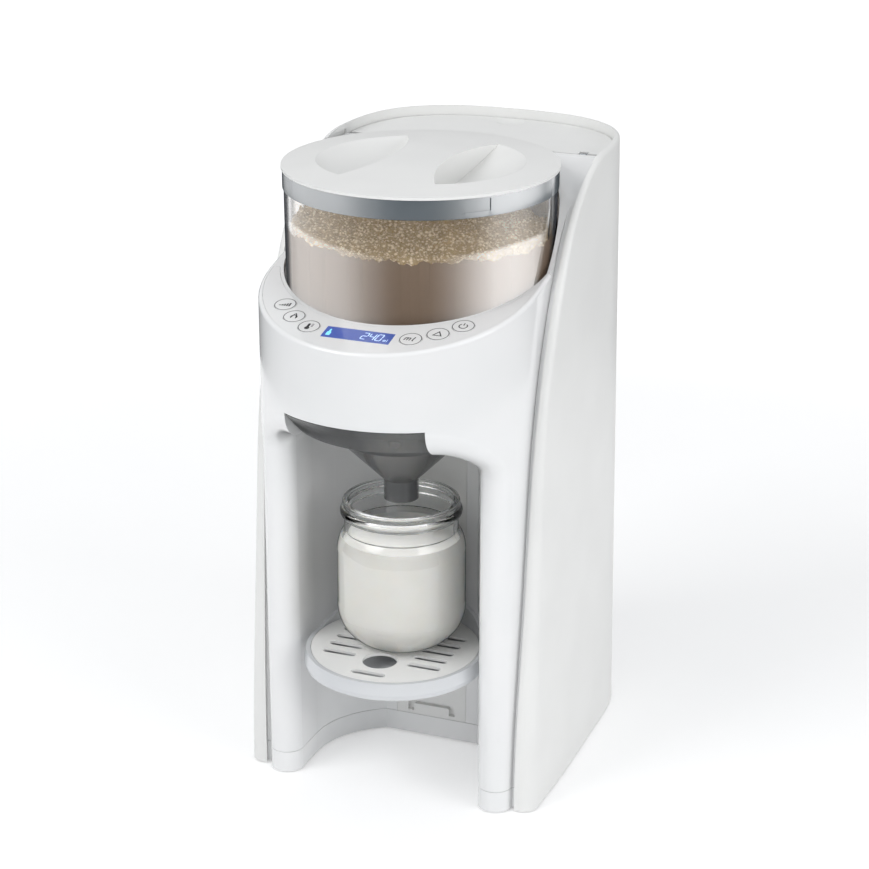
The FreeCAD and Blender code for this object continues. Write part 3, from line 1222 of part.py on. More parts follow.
def pressure_hose():
    z_pump = FLOOR_Z + 62
    x, y = PUMP_X - 6, PUMP_Y
    z_in = FLOOR_Z + 22
    y_in = HEATER_Y + HEATER_R + 8
    return hose([V(x, y, z_pump), V(x, y, z_pump + 14), V(10, y + 16, z_pump + 4),
                 V(-16, y_in + 14, z_in + 24),
                 V(HEATER_X, y_in + 18, z_in), V(HEATER_X, y_in, z_in)], HOSE_R)


def hot_water_hose():
    return hose([V(HEATER_X, HEATER_Y, HEATER_TOP_Z + 8), V(HEATER_X, HEATER_Y, HEATER_TOP_Z + 55),
                 V(HEATER_X - 2, HEATER_Y - 2, NOZZLE_Z - 25), V(NOZZLE_X, HEATER_Y - 8, NOZZLE_Z),
                 V(NOZZLE_X, STAND_Y + 64, NOZZLE_Z)], HOSE_R)


def water_nozzle():
    """Pipe over the alcove's back wall into the bowl of the funnel, hung from the deck."""
    y0 = STAND_Y + 64
    points = [V(NOZZLE_X, y0, NOZZLE_Z), V(NOZZLE_X, y0 - 13, NOZZLE_Z),
              V(-25, STAND_Y + 32, NOZZLE_Z - 4.6), V(-18, STAND_Y + 22, NOZZLE_Z - 4.6)]
    pipe = hose(points, 2.4)
    tab = block(NOZZLE_X - 1.8, NOZZLE_X + 1.8, y0 - 5, y0 - 2, NOZZLE_Z, DECK_PLATE_Z)
    return pipe.fuse(tab)


# ---- power ----------------------------------------------------------------------------------

def power_board():
    z0 = FOOT_GAP + 12.0
    y0, y1 = BACK_Y - 70, BACK_Y - 34
    board = block(-40, 46, y0, y1, z0, z0 + 1.6)
    parts = [
        block(12, 36, y0 + 6, y0 + 28, z0 + 1, z0 + 20),
        disc(6, -8, y0 + 14, z0 + 1, z0 + 22),
        disc(6, -8, y0 + 28, z0 + 1, z0 + 16),
        block(-34, -20, y0 + 8, y0 + 26, z0 + 1, z0 + 12),
    ]
    for x in (-36, 42):
        for y in (y0 + 4, y1 - 4):
            parts.append(disc(3, x, y, FLOOR_Z, z0 + 0.5))
    return board.multiFuse(parts).removeSplitter()


def power_inlet():
    """Two-pin appliance inlet in the back of the cover."""
    half_w, half_h = INLET_W / 2 - 0.2, INLET_H / 2 - 0.2
    outer_y = BACK_Y - 5.0
    x0, x1 = INLET_X - half_w, INLET_X + half_w
    z0, z1 = INLET_Z - half_h, INLET_Z + half_h
    body = block(x0, x1, outer_y - 24, outer_y, z0, z1)
    mouth = block(INLET_X - 5, INLET_X + 5, outer_y - 14, outer_y + 5, INLET_Z - 5, INLET_Z + 5)
    for dx in (-5, 5):
        barrel = Part.makeCylinder(5, 19, V(INLET_X + dx, outer_y - 14, INLET_Z), Y_AXIS)
        mouth = mouth.fuse(barrel)
    body = body.cut(mouth)
    for dx in (-4.5, 4.5):
        body = body.fuse(Part.makeCylinder(1.2, 13, V(INLET_X + dx, outer_y - 15, INLET_Z), Y_AXIS))
    flange = block(x0 - 3, x1 + 3, outer_y - 8, BACK_Y, z0 - 3, z1 + 3)
    flange = flange.common(cover_block(FOOT_GAP, RIM_Z, COVER_WALL + 0.02))
    flange = flange.cut(block(x0, x1, 0, BACK_Y, z0, z1))
    body = body.fuse(flange)
    return body.removeSplitter()


def rubber_feet():
    return [disc(r, x, y, 0, FOOT_GAP + 1.2) for x, y, r in foot_places()]


def base_screws():
    screws = []
    for x, y in screw_places():
        head = disc(3.0, x, y, FOOT_GAP + 0.2, FOOT_GAP + 2.0)
        screws.append(head.fuse(disc(1.25, x, y, FOOT_GAP + 1.5, FOOT_GAP + 19)).removeSplitter())
    return screws


BUTTON_NAMES = ("level_button", "water_button", "heat_button", "unit_button", "start_button",
                "power_button")


def all_parts():
    shell = housing_shell()
    parts = {
        "rear_cover": rear_cover(),
        "front_housing": front_housing(shell),
        "alcove_liner": alcove_liner(shell),
        "hopper_seat": hopper_seat(shell),
        "base_tray": base_tray(),
        "height_rail": height_rail(),
        "control_panel": control_panel(),
        "display_window": display_window(),
        "display_module": display_module(),
        "control_board": control_board(),
        "bottle_stand": bottle_stand(),
        "drip_plate": drip_plate(),
        "bottle": bottle(),
        "mixing_funnel": mixing_funnel(),
        "funnel_rail_left": funnel_rail(-1),
        "funnel_rail_right": funnel_rail(1),
        "powder_hopper": powder_hopper(),
        "metering_wheel": metering_wheel(),
        "wheel_cover": wheel_cover(),
        "stirrer": stirrer(),
        "powder_lid": powder_lid(),
        "lid_band": lid_band(),
        "lid_seal": lid_seal(),
        "drive_gear": drive_gear(),
        "motor_pinion": motor_pinion(),
        "drive_bush": drive_bush(),
        "powder_chute": powder_chute(),
        "gear_motor": gear_motor(),
        "motor_bracket": motor_bracket(),
        "water_tank": water_tank(),
        "tank_lid": tank_lid(),
        "lid_hinge_pins": lid_hinge_pins(),
        "tank_valve": tank_valve(),
        "valve_seat": valve_seat(),
        "valve_seal": valve_seal(),
        "tank_shelf": tank_shelf(),
        "water_pump": water_pump(),
        "heater": heater(),
        "suction_hose": suction_hose(),
        "pressure_hose": pressure_hose(),
        "hot_water_hose": hot_water_hose(),
        "water_nozzle": water_nozzle(),
        "power_board": power_board(),
        "power_inlet": power_inlet(),
        "rubber_feet": rubber_feet(),
        "base_screws": base_screws(),
    }
    for name, angle in zip(BUTTON_NAMES, button_places()):
        parts[name] = button(angle)
    return parts


def single(shape):
    """One solid for a piece, or a compound of separate solids for a group."""
    if isinstance(shape, list):
        return Part.makeCompound([single(item) for item in shape])
    if shape.ShapeType != "Solid" and len(shape.Solids) == 1:
        return shape.Solids[0]
    return shape


def main():
    os.makedirs("parts", exist_ok=True)
    for name, shape in all_parts().items():
        shape = single(shape)
        shape.exportStep(f"parts/{name}.step")
        print(name, len(shape.Solids), shape.isValid(), round(shape.Volume))


if __name__ == "__main__":
    main()
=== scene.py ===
import json
from math import atan, atan2, cos, pi, radians, sin, sqrt

import bmesh
import bpy
from bpy.props import FloatProperty, FloatVectorProperty, IntProperty, PointerProperty
from bpy.types import Operator, Panel, PropertyGroup
from mathutils import Matrix, Vector, noise

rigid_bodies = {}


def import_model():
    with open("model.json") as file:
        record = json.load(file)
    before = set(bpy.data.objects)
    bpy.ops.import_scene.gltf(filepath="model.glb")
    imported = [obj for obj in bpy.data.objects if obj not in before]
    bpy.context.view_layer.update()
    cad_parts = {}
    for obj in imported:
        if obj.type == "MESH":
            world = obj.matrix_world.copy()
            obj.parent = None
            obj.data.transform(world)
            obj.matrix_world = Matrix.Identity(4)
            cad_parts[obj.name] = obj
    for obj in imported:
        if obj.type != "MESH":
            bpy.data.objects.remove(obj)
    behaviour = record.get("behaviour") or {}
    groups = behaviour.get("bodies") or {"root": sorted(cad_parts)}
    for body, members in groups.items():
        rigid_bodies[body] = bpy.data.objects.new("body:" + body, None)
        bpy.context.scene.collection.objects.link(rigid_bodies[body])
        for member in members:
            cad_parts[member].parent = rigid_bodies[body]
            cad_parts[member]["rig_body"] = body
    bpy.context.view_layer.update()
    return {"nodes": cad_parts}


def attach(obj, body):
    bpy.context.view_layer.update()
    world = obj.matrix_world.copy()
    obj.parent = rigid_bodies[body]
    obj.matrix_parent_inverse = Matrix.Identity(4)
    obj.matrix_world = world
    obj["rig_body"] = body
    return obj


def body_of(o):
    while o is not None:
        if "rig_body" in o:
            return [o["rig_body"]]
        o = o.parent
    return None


bl_info = {
    "name": "Baby formula maker",
    "version": (1, 0, 0),
    "blender": (4, 5, 0),
    "location": "View3D > Sidebar > Formula maker",
    "description": "Finishes and fine pieces of a countertop formula maker on its packed frame",
    "category": "Object",
}

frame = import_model()

MM = 0.001

# ---- places shared with the frame, in millimetres: +Z up, the front faces -Y -----------------

FRONT_Y = -129.0
FACE_Y = -52.0             # axis of the drum-shaped front
HOPPER_Y = -24.6           # axis of the hopper, its lid and the metering wheel
BOTTLE_Y = -54.3           # axis of the bottle

CONSOLE_SLOPE = 0.235      # rise toward the back
CONSOLE_FRONT_Z = 277.4
BUTTON_RING_R = 64.0
BUTTON_ANGLES = {
    "level": -52.3, "water": -39.45, "heat": -26.6,
    "unit": 26.6, "start": 39.45, "power": 52.3,
}
BUTTON_PROUD = 0.3
INK_LIFT = 0.03            # ink over a button's face
WINDOW_RING_R = 59.4
FIGURE_LIFT = 0.14         # lit figures over the console's slope

HOPPER_FLOOR_Z = 267.6
HOPPER_INNER_R = 71.28     # at its floor
HOPPER_TAPER = 0.0149      # how much the wall closes in for each millimetre up
POWDER_TILT = 0.045        # fall of the powder toward +X
POWDER_RISE = 0.02         # rise of the powder toward the back
POWDER_FOOT_LAP = 0.12     # how far the powder reaches into the cup's wall, at its foot
POWDER_TOP_LAP = 0.15      # and at its level

STAND_TOP_Z = 84.2
BOTTLE_INNER_R = 33.9
BOTTLE_NECK_INNER_R = 29.6
BOTTLE_FLOOR_R = 18.0      # flat part of its floor
BOTTLE_FLOOR_Z = STAND_TOP_Z + 3.0
BOTTLE_HEEL = (5.56, 6.67)     # a point of the heel: in from the wall, up from the floor
BOTTLE_HEEL_Z = STAND_TOP_Z + 26.0
BOTTLE_SHOULDER_Z = STAND_TOP_Z + 57.0
BOTTLE_SHOULDER = (1.5, STAND_TOP_Z + 63.0)    # a point of the shoulder: in from the wall, height
BOTTLE_NECK_Z = STAND_TOP_Z + 68.5
MILK_LAP = 0.25            # how far the milk reaches into the glass
MILK_CREEP = 0.3           # how far it climbs the wall above its level


# ---- colours and materials -------------------------------------------------------------------

def linear(hex_colour):
    """An sRGB hex colour as linear RGBA."""
    parts = [int(hex_colour[i:i + 2], 16) / 255 for i in (1, 3, 5)]
    return [c / 12.92 if c <= 0.04045 else ((c + 0.055) / 1.055) ** 2.4 for c in parts] + [1.0]


def add(tree, kind, settings=None, links=None):
    """Adds one node with its settings and links."""
    made = tree.nodes.new(kind)
    for key, value in (settings or {}).items():
        if isinstance(key, int) or key in made.inputs:
            made.inputs[key].default_value = value
        else:
            setattr(made, key, value)
    for key, source in (links or {}).items():
        tree.links.new(source, made.inputs[key])
    return made


def start_material(name):
    """An empty material with its output node and object coordinates in metres."""
    made = bpy.data.materials.new(name)
    made.use_nodes = True
    tree = made.node_tree
    tree.nodes.clear()
    output = add(tree, "ShaderNodeOutputMaterial")
    place = add(tree, "ShaderNodeTexCoord").outputs["Object"]
    return made, tree, output, place


def grains(size_mm):
    """Noise scale that gives grains of this size, for coordinates in metres."""
    return 1.0 / (size_mm * MM)


def shade_mix(tree, place, low, high, size_mm):
    """Two close colours blended by a soft noise of a real size."""
    cloud = add(tree, "ShaderNodeTexNoise", {"Scale": grains(size_mm), "Detail": 2.0},
                {"Vector": place})
    ramp = add(tree, "ShaderNodeValToRGB", None, {"Fac": cloud.outputs["Fac"]})
    ramp.color_ramp.elements[0].position = 0.35
    ramp.color_ramp.elements[0].color = linear(low)
    ramp.color_ramp.elements[1].position = 0.65
    ramp.color_ramp.elements[1].color = linear(high)
    return ramp.outputs["Color"]


def skin_bump(tree, place, size_mm, depth_mm):
    """The fine unevenness of a moulded skin."""
    cloud = add(tree, "ShaderNodeTexNoise", {"Scale": grains(size_mm), "Detail": 3.0},
                {"Vector": place})
    bump = add(tree, "ShaderNodeBump", {"Strength": 1.0, "Distance": depth_mm * MM},
               {"Height": cloud.outputs["Fac"]})
    return bump.outputs["Normal"]


def outside(tree, value):
    """A value where a ray arrives through the air, and nought where it arrives inside the wall."""
    behind = add(tree, "ShaderNodeNewGeometry").outputs["Backfacing"]
    switch = add(tree, "ShaderNodeMath", {"operation": "MULTIPLY_ADD", 1: -value, 2: value},
                 {0: behind})
    return switch.outputs[0]


def polished(tree, shader, polish, roughness):
    """A shader with a clear polish over it, which mirrors this share of the light."""
    mirror = add(tree, "ShaderNodeBsdfAnisotropic", {"Roughness": roughness},
                 {"Color": outside(tree, polish)})
    return add(tree, "ShaderNodeAddShader", None, {0: shader.outputs[0], 1: mirror.outputs[0]})


def moulded(name, low, high, roughness, size_mm, depth_mm, coat=0.0, shade_size=45.0, extra=None,
            polish=0.0):
    """A moulded plastic: close shades of one colour and a skin with a real grain size."""
    made, tree, output, place = start_material(name)
    settings = {"Roughness": roughness, "IOR": 1.5, "Coat Weight": coat, "Coat Roughness": 0.06}
    settings.update(extra or {})
    shader = add(tree, "ShaderNodeBsdfPrincipled", settings, {
        "Base Color": shade_mix(tree, place, low, high, shade_size),
        "Normal": skin_bump(tree, place, size_mm, depth_mm),
    })
    if polish:
        shader = polished(tree, shader, polish, 0.05)
    tree.links.new(shader.outputs[0], output.inputs["Surface"])
    return made


def clear_material(name, tint, edge, roughness, ior, grain_mm, depth_mm, rise=(0.30, 0.92),
                   polish=0.0, rim=None):
    """A clear moulded or pressed wall, darker where the eye looks along it: partly its tint over
    the longer path and partly painted shade. The rim is a painted dark edge at the turning edge,
    standing in for the light that a thick wall leads away: (where it starts, where it is full, its
    share).
    """
    made, tree, output, place = start_material(name)
    facing = add(tree, "ShaderNodeLayerWeight", {"Blend": 0.28}).outputs["Facing"]
    # Painted shade in part: the colour turns toward the edge colour where the eye looks along the
    # wall.
    ramp = add(tree, "ShaderNodeValToRGB", None, {"Fac": facing})
    ramp.color_ramp.elements[0].position = rise[0]
    ramp.color_ramp.elements[0].color = linear(tint)
    ramp.color_ramp.elements[1].position = rise[1]
    ramp.color_ramp.elements[1].color = linear(edge)
    shader = add(tree, "ShaderNodeBsdfPrincipled",
                 {"Roughness": roughness, "IOR": ior, "Transmission Weight": 1.0},
                 {"Base Color": ramp.outputs["Color"],
                  "Normal": skin_bump(tree, place, grain_mm, depth_mm)})
    if polish:
        shader = polished(tree, shader, polish, roughness)
    # Painted dark edge: an opaque dark shader mixed in at the turning edge.
    if rim:
        start, full, most = rim
        turning = add(tree, "ShaderNodeMapRange", {"From Min": start, "From Max": full},
                      {"Value": facing})
        share = add(tree, "ShaderNodeMath", {"operation": "MULTIPLY"},
                    {0: turning.outputs["Result"], 1: outside(tree, most)})
        dark = add(tree, "ShaderNodeBsdfPrincipled",
                   {"Base Color": linear(edge), "Roughness": 0.3, "Specular IOR Level": 0.0})
        shader = add(tree, "ShaderNodeMixShader", None,
                     {0: share.outputs[0], 1: shader.outputs[0], 2: dark.outputs[0]})
    tree.links.new(shader.outputs[0], output.inputs["Surface"])
    return made


def metal(name, colour, roughness, size_mm, stretch=(1, 1, 1)):
    """A bare metal whose roughness varies along its working marks."""
    made, tree, output, place = start_material(name)
    marks = add(tree, "ShaderNodeMapping", {"Scale": stretch}, {"Vector": place})
    cloud = add(tree, "ShaderNodeTexNoise", {"Scale": grains(size_mm), "Detail": 4.0},
                {"Vector": marks.outputs["Vector"]})
    rough = add(tree, "ShaderNodeMapRange",
                {"To Min": roughness * 0.75, "To Max": roughness * 1.35},
                {"Value": cloud.outputs["Fac"]})
    bump = add(tree, "ShaderNodeBump", {"Strength": 0.5, "Distance": 0.01 * MM},
               {"Height": cloud.outputs["Fac"]})
    shader = add(tree, "ShaderNodeBsdfPrincipled", {"Base Color": linear(colour), "Metallic": 1.0},
                 {"Roughness": rough.outputs["Result"], "Normal": bump.outputs["Normal"]})
    tree.links.new(shader.outputs[0], output.inputs["Surface"])
    return made


def powder_material():
    # Milk powder, spray dried and clumped: dull, with pale crumbs and tones that vary at random,
    # and painted shade that darkens the hollows between the crumbs to tan. Where it is pressed to
    # the clear wall it is smooth and browner. The crumbs are coarse enough to show.
    made, tree, output, place = start_material("formula_powder_clumped")
    crumbs = add(tree, "ShaderNodeTexVoronoi", {"Scale": grains(1.9), "Randomness": 1.0},
                 {"Vector": place})
    cloud = add(tree, "ShaderNodeTexNoise",
                {"Scale": grains(7.0), "Detail": 5.0, "Roughness": 0.6}, {"Vector": place})
    speck = add(tree, "ShaderNodeMath", {"operation": "MULTIPLY_ADD", 1: 0.75},
                {0: cloud.outputs["Fac"], 2: crumbs.outputs["Distance"]})
    # Painted shade in part: the deeper a hollow in the bump below, the darker tan its colour.
    loose_with_hollow_shade = add(tree, "ShaderNodeValToRGB", None, {"Fac": speck.outputs[0]})
    loose_with_hollow_shade.color_ramp.elements[0].position = 0.60
    loose_with_hollow_shade.color_ramp.elements[0].color = linear("#F3E4C9")
    loose_with_hollow_shade.color_ramp.elements[1].position = 0.90
    loose_with_hollow_shade.color_ramp.elements[1].color = linear("#B79E74")
    wide = add(tree, "ShaderNodeTexNoise", {"Scale": grains(34.0), "Detail": 2.0},
               {"Vector": place})
    pressed = add(tree, "ShaderNodeValToRGB", None, {"Fac": wide.outputs["Fac"]})
    pressed.color_ramp.elements[0].color = linear("#8E7C6C")
    pressed.color_ramp.elements[1].color = linear("#9A8878")
    normal = add(tree, "ShaderNodeNewGeometry").outputs["True Normal"]
    upright = add(tree, "ShaderNodeSeparateXYZ", None, {"Vector": normal}).outputs["Z"]
    open_top = add(tree, "ShaderNodeMapRange", {"From Min": 0.05, "From Max": 0.30},
                   {"Value": upright}).outputs["Result"]
    colour = add(tree, "ShaderNodeMix", {"data_type": "RGBA"},
                 {0: open_top, 6: pressed.outputs["Color"], 7: loose_with_hollow_shade.outputs["Color"]}).outputs[2]
    rough_top = add(tree, "ShaderNodeMath", {"operation": "MULTIPLY"},
                    {0: open_top, 1: speck.outputs[0]})
    bump = add(tree, "ShaderNodeBump", {"Strength": 0.8, "Distance": 0.8 * MM, "invert": True},
               {"Height": rough_top.outputs[0]})
    # A painted glow lifts the open top a little, in place of the light that the crumbs pass on
    # between them
    lift = add(tree, "ShaderNodeMath", {"operation": "MULTIPLY", 1: 0.12}, {0: open_top})
    shader = add(tree, "ShaderNodeBsdfPrincipled", {"Roughness": 0.95, "Specular IOR Level": 0.1},
                 {"Base Color": colour, "Normal": bump.outputs["Normal"],
                  "Emission Color": colour, "Emission Strength": lift.outputs[0]})
    tree.links.new(shader.outputs[0], output.inputs["Surface"])
    return made


def milk_material():
    # Mixed formula milk: opaque, warm white, soft at its edges. Its top carries a painted glow,
    # strongest at the front, that makes it brighter than the side.
    made, tree, output, place = start_material("formula_milk")
    froth = add(tree, "ShaderNodeTexNoise", {"Scale": grains(1.6), "Detail": 3.0},
                {"Vector": place})
    bump = add(tree, "ShaderNodeBump", {"Strength": 0.3, "Distance": 0.05 * MM},
               {"Height": froth.outputs["Fac"]})
    normal = add(tree, "ShaderNodeNewGeometry").outputs["True Normal"]
    upright = add(tree, "ShaderNodeSeparateXYZ", None, {"Vector": normal}).outputs["Z"]
    depth = add(tree, "ShaderNodeSeparateXYZ", None, {"Vector": place}).outputs["Y"]
    # Painted glow: emission on the milk's top, strongest at the front and fading toward the back.
    near = add(tree, "ShaderNodeMapRange",
               {"From Min": -42 * MM, "From Max": -68 * MM, "To Max": 0.50}, {"Value": depth})
    surface = add(tree, "ShaderNodeMapRange", {"From Min": 0.3, "From Max": 0.9},
                  {"Value": upright})
    glow = add(tree, "ShaderNodeMath", {"operation": "MULTIPLY"},
               {0: near.outputs["Result"], 1: surface.outputs["Result"]})
    shader = add(tree, "ShaderNodeBsdfPrincipled",
                 {"Roughness": 0.28, "Subsurface Weight": 0.35,
                  "Subsurface Radius": (0.006, 0.005, 0.004), "Emission Color": linear("#FAF8F3")},
                 {"Base Color": shade_mix(tree, place, "#F7F5EF", "#FAF8F3", 20.0),
                  "Normal": bump.outputs["Normal"], "Emission Strength": glow.outputs[0]})
    tree.links.new(shader.outputs[0], output.inputs["Surface"])
    return made


def display_material():
    # Liquid crystal display behind a clear window, lit from its side: a blue that fades a little.
    made, tree, output, place = start_material("display_backlit_blue")
    along = add(tree, "ShaderNodeSeparateXYZ", None, {"Vector": place}).outputs["X"]
    share = add(tree, "ShaderNodeMapRange", {"From Min": -19 * MM, "From Max": 19 * MM},
                {"Value": along})
    ramp = add(tree, "ShaderNodeValToRGB", None, {"Fac": share.outputs["Result"]})
    ramp.color_ramp.elements[0].color = linear("#3F57A8")
    ramp.color_ramp.elements[1].color = linear("#3B539E")
    shader = add(tree, "ShaderNodeBsdfPrincipled",
                 {"Roughness": 0.12, "IOR": 1.49, "Emission Strength": 0.36, "Coat Weight": 0.4},
                 {"Base Color": ramp.outputs["Color"], "Emission Color": ramp.outputs["Color"]})
    tree.links.new(shader.outputs[0], output.inputs["Surface"])
    return made


MATERIALS = {}


def material(key):
    """Each finish is made once, when the first piece asks for it."""
    if key not in MATERIALS:
        MATERIALS[key] = RECIPES[key]()
    return MATERIALS[key]


RECIPES = {
    # ABS, moulded in a polished tool: bright white with a soft mirror of the studio.
    "gloss_white": lambda: moulded(
        "abs_white_polished", "#F1F2F2", "#F4F4F4", 0.20, 14.0, 0.012, coat=0.35),
    # ABS, moulded in a lightly eroded tool: the same white, with a broad satin light.
    "satin_white": lambda: moulded(
        "abs_white_satin", "#EEEEEC", "#F1F1EF", 0.42, 0.5, 0.010),
    # Polypropylene, moulded for the drip plate: a white painted brighter than the others as light
    # on the plate in the alcove, with a soft satin light.
    "plate_white_lit": lambda: moulded(
        "polypropylene_white_plate_painted_light", "#F8F8F6", "#FBFBF9", 0.40, 0.6, 0.010),
    # ABS, moulded for the stand: the same soft mirror on a white that is painted greyer and cooler
    # as shade for its place in the alcove.
    "stand_white_shaded": lambda: moulded(
        "abs_white_stand_painted_shade", "#D8DADD", "#DCDEE0", 0.30, 14.0, 0.012, coat=0.2),
    # ABS, moulded in an eroded tool and left plain: dull white inside the machine.
    "plain_white": lambda: moulded(
        "abs_white_plain", "#E4E6E8", "#E9EAEB", 0.55, 0.7, 0.015),
    # Acetal, injection moulded: milky, waxy white.
    "acetal": lambda: moulded(
        "acetal_natural", "#E9E6DA", "#EFEDE3", 0.38, 1.2, 0.01,
        extra={"Subsurface Weight": 0.15, "Subsurface Radius": (0.004, 0.004, 0.003)}),
    # Copolyester, injection moulded: clear as glass, lightly warm, with painted shade along its
    # edges.
    "clear_cup": lambda: clear_material(
        "copolyester_clear_moulded", "#FCFBFA", "#3E4044", 0.0, 1.54, 30, 0.02,
        rise=(0.505, 0.70), polish=0.12, rim=(0.50, 0.59, 0.85)),
    # Copolyester, moulded with a blue tint for the tank: clear, cool and pale.
    "clear_tank": lambda: clear_material(
        "copolyester_blue_moulded", "#EEF5FA", "#9FB4C2", 0.05, 1.54, 24, 0.03),
    # Soda-lime glass, pressed and blown: colourless, with slow waves and grey edges of painted
    # shade.
    "bottle_glass": lambda: clear_material(
        "soda_lime_glass_pressed", "#FDFEFE", "#4E5352", 0.0, 1.52, 18, 0.04,
        rise=(0.50, 0.80), rim=(0.56, 0.68, 0.6)),
    # Polypropylene with a smoke tint, moulded: see-through grey with a soft shine.
    "smoke": lambda: moulded(
        "polypropylene_smoke_moulded", "#626364", "#686969", 0.22, 2.0, 0.01, shade_size=30.0,
        extra={"Transmission Weight": 0.35, "IOR": 1.49}),
    # Polypropylene with a blue-grey tint, moulded: it lets light through and shows no shapes.
    "band": lambda: moulded(
        "polypropylene_blue_grey", "#686F73", "#6E757A", 0.12, 0.9, 0.003, shade_size=25.0,
        extra={"Transmission Weight": 0.15, "IOR": 1.54}, polish=0.12),
    # Silicone, pressed: dull and slightly translucent.
    "silicone": lambda: moulded(
        "silicone_translucent", "#D3D7D9", "#DDE0E1", 0.48, 0.6, 0.02,
        extra={"Subsurface Weight": 0.2, "Subsurface Radius": (0.003, 0.003, 0.003)}),
    # Rubber, pressed: dark grey, without shine.
    "rubber": lambda: moulded(
        "rubber_pressed", "#3A3B3D", "#444547", 0.75, 0.8, 0.04),
    # Nylon, moulded: black and dull.
    "black_nylon": lambda: moulded(
        "nylon_black_moulded", "#17181A", "#202124", 0.50, 0.7, 0.02),
    # Epoxy glass board under green solder mask: dark green with a slight shine.
    "board": lambda: moulded(
        "solder_mask_green", "#12502C", "#1B6338", 0.35, 1.0, 0.02, shade_size=6.0),
    # Ink, pad printed: thin and dull, dark grey in the rings and near black in the signs.
    "ink": lambda: moulded(
        "pad_print_grey", "#3E4043", "#46484C", 0.45, 0.3, 0.004, shade_size=3.0),
    "dark_ink": lambda: moulded(
        "pad_print_dark", "#1E1F22", "#26272A", 0.45, 0.3, 0.004, shade_size=3.0),
    # Bronze, sintered: brown-gold and porous.
    "bronze": lambda: metal("bronze_sintered", "#B08A55", 0.42, 0.4),
    # Steel, rolled and zinc plated: light grey with fine drawn marks.
    "steel": lambda: metal("steel_zinc_plated", "#B9BABD", 0.33, 0.6, stretch=(1, 1, 6)),
    # Aluminium, die cast: pale and rough.
    "aluminium": lambda: metal("aluminium_die_cast", "#C9CBCD", 0.45, 0.8),
    "powder": powder_material,
    "milk": milk_material,
    "display": display_material,
    # Segments of the display that let its light through: pale blue, and cyan for the bottle's sign.
    "segment": lambda: moulded(
        "display_segment_lit", "#B9D4F7", "#C6DDFA", 0.30, 1.0, 0.001,
        extra={"Emission Color": linear("#BAD5F8"), "Emission Strength": 0.7}),
    "segment_cyan": lambda: moulded(
        "display_segment_cyan", "#7FD0E8", "#8AD9EF", 0.30, 1.0, 0.001,
        extra={"Emission Color": linear("#7FD0E8"), "Emission Strength": 0.6}),
}


# ---- making pieces ---------------------------------------------------------------------------

def dress(key, *node_names):
    """Gives nodes of the frame their finish."""
    for node_name in node_names:
        holder = frame["nodes"][node_name]
        holder.data.materials.clear()
        holder.data.materials.append(material(key))


def piece(name, vertices, faces, key, body, smooth_angle=None):
    """A new piece from vertices in millimetres, riding on a body."""
    mesh = bpy.data.meshes.new(name)
    mesh.from_pydata([Vector(v) * MM for v in vertices], [], faces)
    mesh.validate()
    work = bmesh.new()
    work.from_mesh(mesh)
    bmesh.ops.recalc_face_normals(work, faces=work.faces)
    work.to_mesh(mesh)
    work.free()
    if smooth_angle is not None:
        for face in mesh.polygons:
            face.use_smooth = True
        mesh.set_sharp_from_angle(angle=radians(smooth_angle))
    mesh.materials.append(material(key))
    made = bpy.data.objects.new(name, mesh)
    bpy.context.scene.collection.objects.link(made)
    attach(made, body)
    return made


def lathe(name, profile, x, y, key, body, steps, smooth_angle):
    """Turns a closed profile of (radius, height) in millimetres about an upright axis."""
    vertices, faces, rings = [], [], []
    for r, z in profile:
        if r < 1e-6:
            rings.append([len(vertices)])
            vertices.append((x, y, z))
            continue
        rings.append(list(range(len(vertices), len(vertices) + steps)))
        for i in range(steps):
            a = 2 * pi * i / steps
            vertices.append((x + r * cos(a), y + r * sin(a), z))
    for ring, after in zip(rings, rings[1:] + rings[:1]):
        if len(ring) == 1 and len(after) == 1:
            continue
        for i in range(steps):
            j = (i + 1) % steps
            corners = [ring[i % len(ring)], ring[j % len(ring)],
                       after[j % len(after)], after[i % len(after)]]
            unique = list(dict.fromkeys(corners))
            if len(unique) > 2:
                faces.append(unique)
    return piece(name, vertices, faces, key, body, smooth_angle)


def console_place(ring_r, angle, lift):
    """A flat frame on the console: x to the right, y up the slope, z out of the surface."""
    x = ring_r * sin(radians(angle))
    y = FACE_Y - ring_r * cos(radians(angle))
    z = CONSOLE_FRONT_Z + CONSOLE_SLOPE * (y - FRONT_Y)
    turn = Matrix.Rotation(atan(CONSOLE_SLOPE), 4, "X")
    return Matrix.Translation((x, y, z)) @ turn @ Matrix.Translation((0, 0, lift))


def stroke(points, width, closed=False):
    """Both edges of a flat line of even width, mitred at its corners."""
    count = len(points)
    left, right = [], []
    for i, here in enumerate(points):
        here = Vector(here)
        before = Vector(points[(i - 1) % count]) if closed or i > 0 else None
        after = Vector(points[(i + 1) % count]) if closed or i < count - 1 else None
        d0 = (here - before).normalized() if before is not None else (after - here).normalized()
        d1 = (after - here).normalized() if after is not None else d0
        normal = Vector((-(d0 + d1).y, (d0 + d1).x)).normalized()
        reach = width / 2 / max(0.4, normal.dot(Vector((-d1.y, d1.x))))
        left.append(here + normal * reach)
        right.append(here - normal * reach)
    return left, right


def print_lines(name, place, lines, width, key, body):
    """Printed lines on a face: each is (points, closed) in the flat frame of the place."""
    vertices, faces = [], []
    for points, closed in lines:
        left, right = stroke(points, width, closed)
        base = len(vertices)
        for a, b in zip(left, right):
            vertices.append(place @ Vector((a.x, a.y, 0)))
            vertices.append(place @ Vector((b.x, b.y, 0)))
        count = len(left)
        for i in range(count if closed else count - 1):
            j = (i + 1) % count
            faces.append((base + 2 * i, base + 2 * i + 1, base + 2 * j + 1, base + 2 * j))
    return piece(name, vertices, faces, key, body)


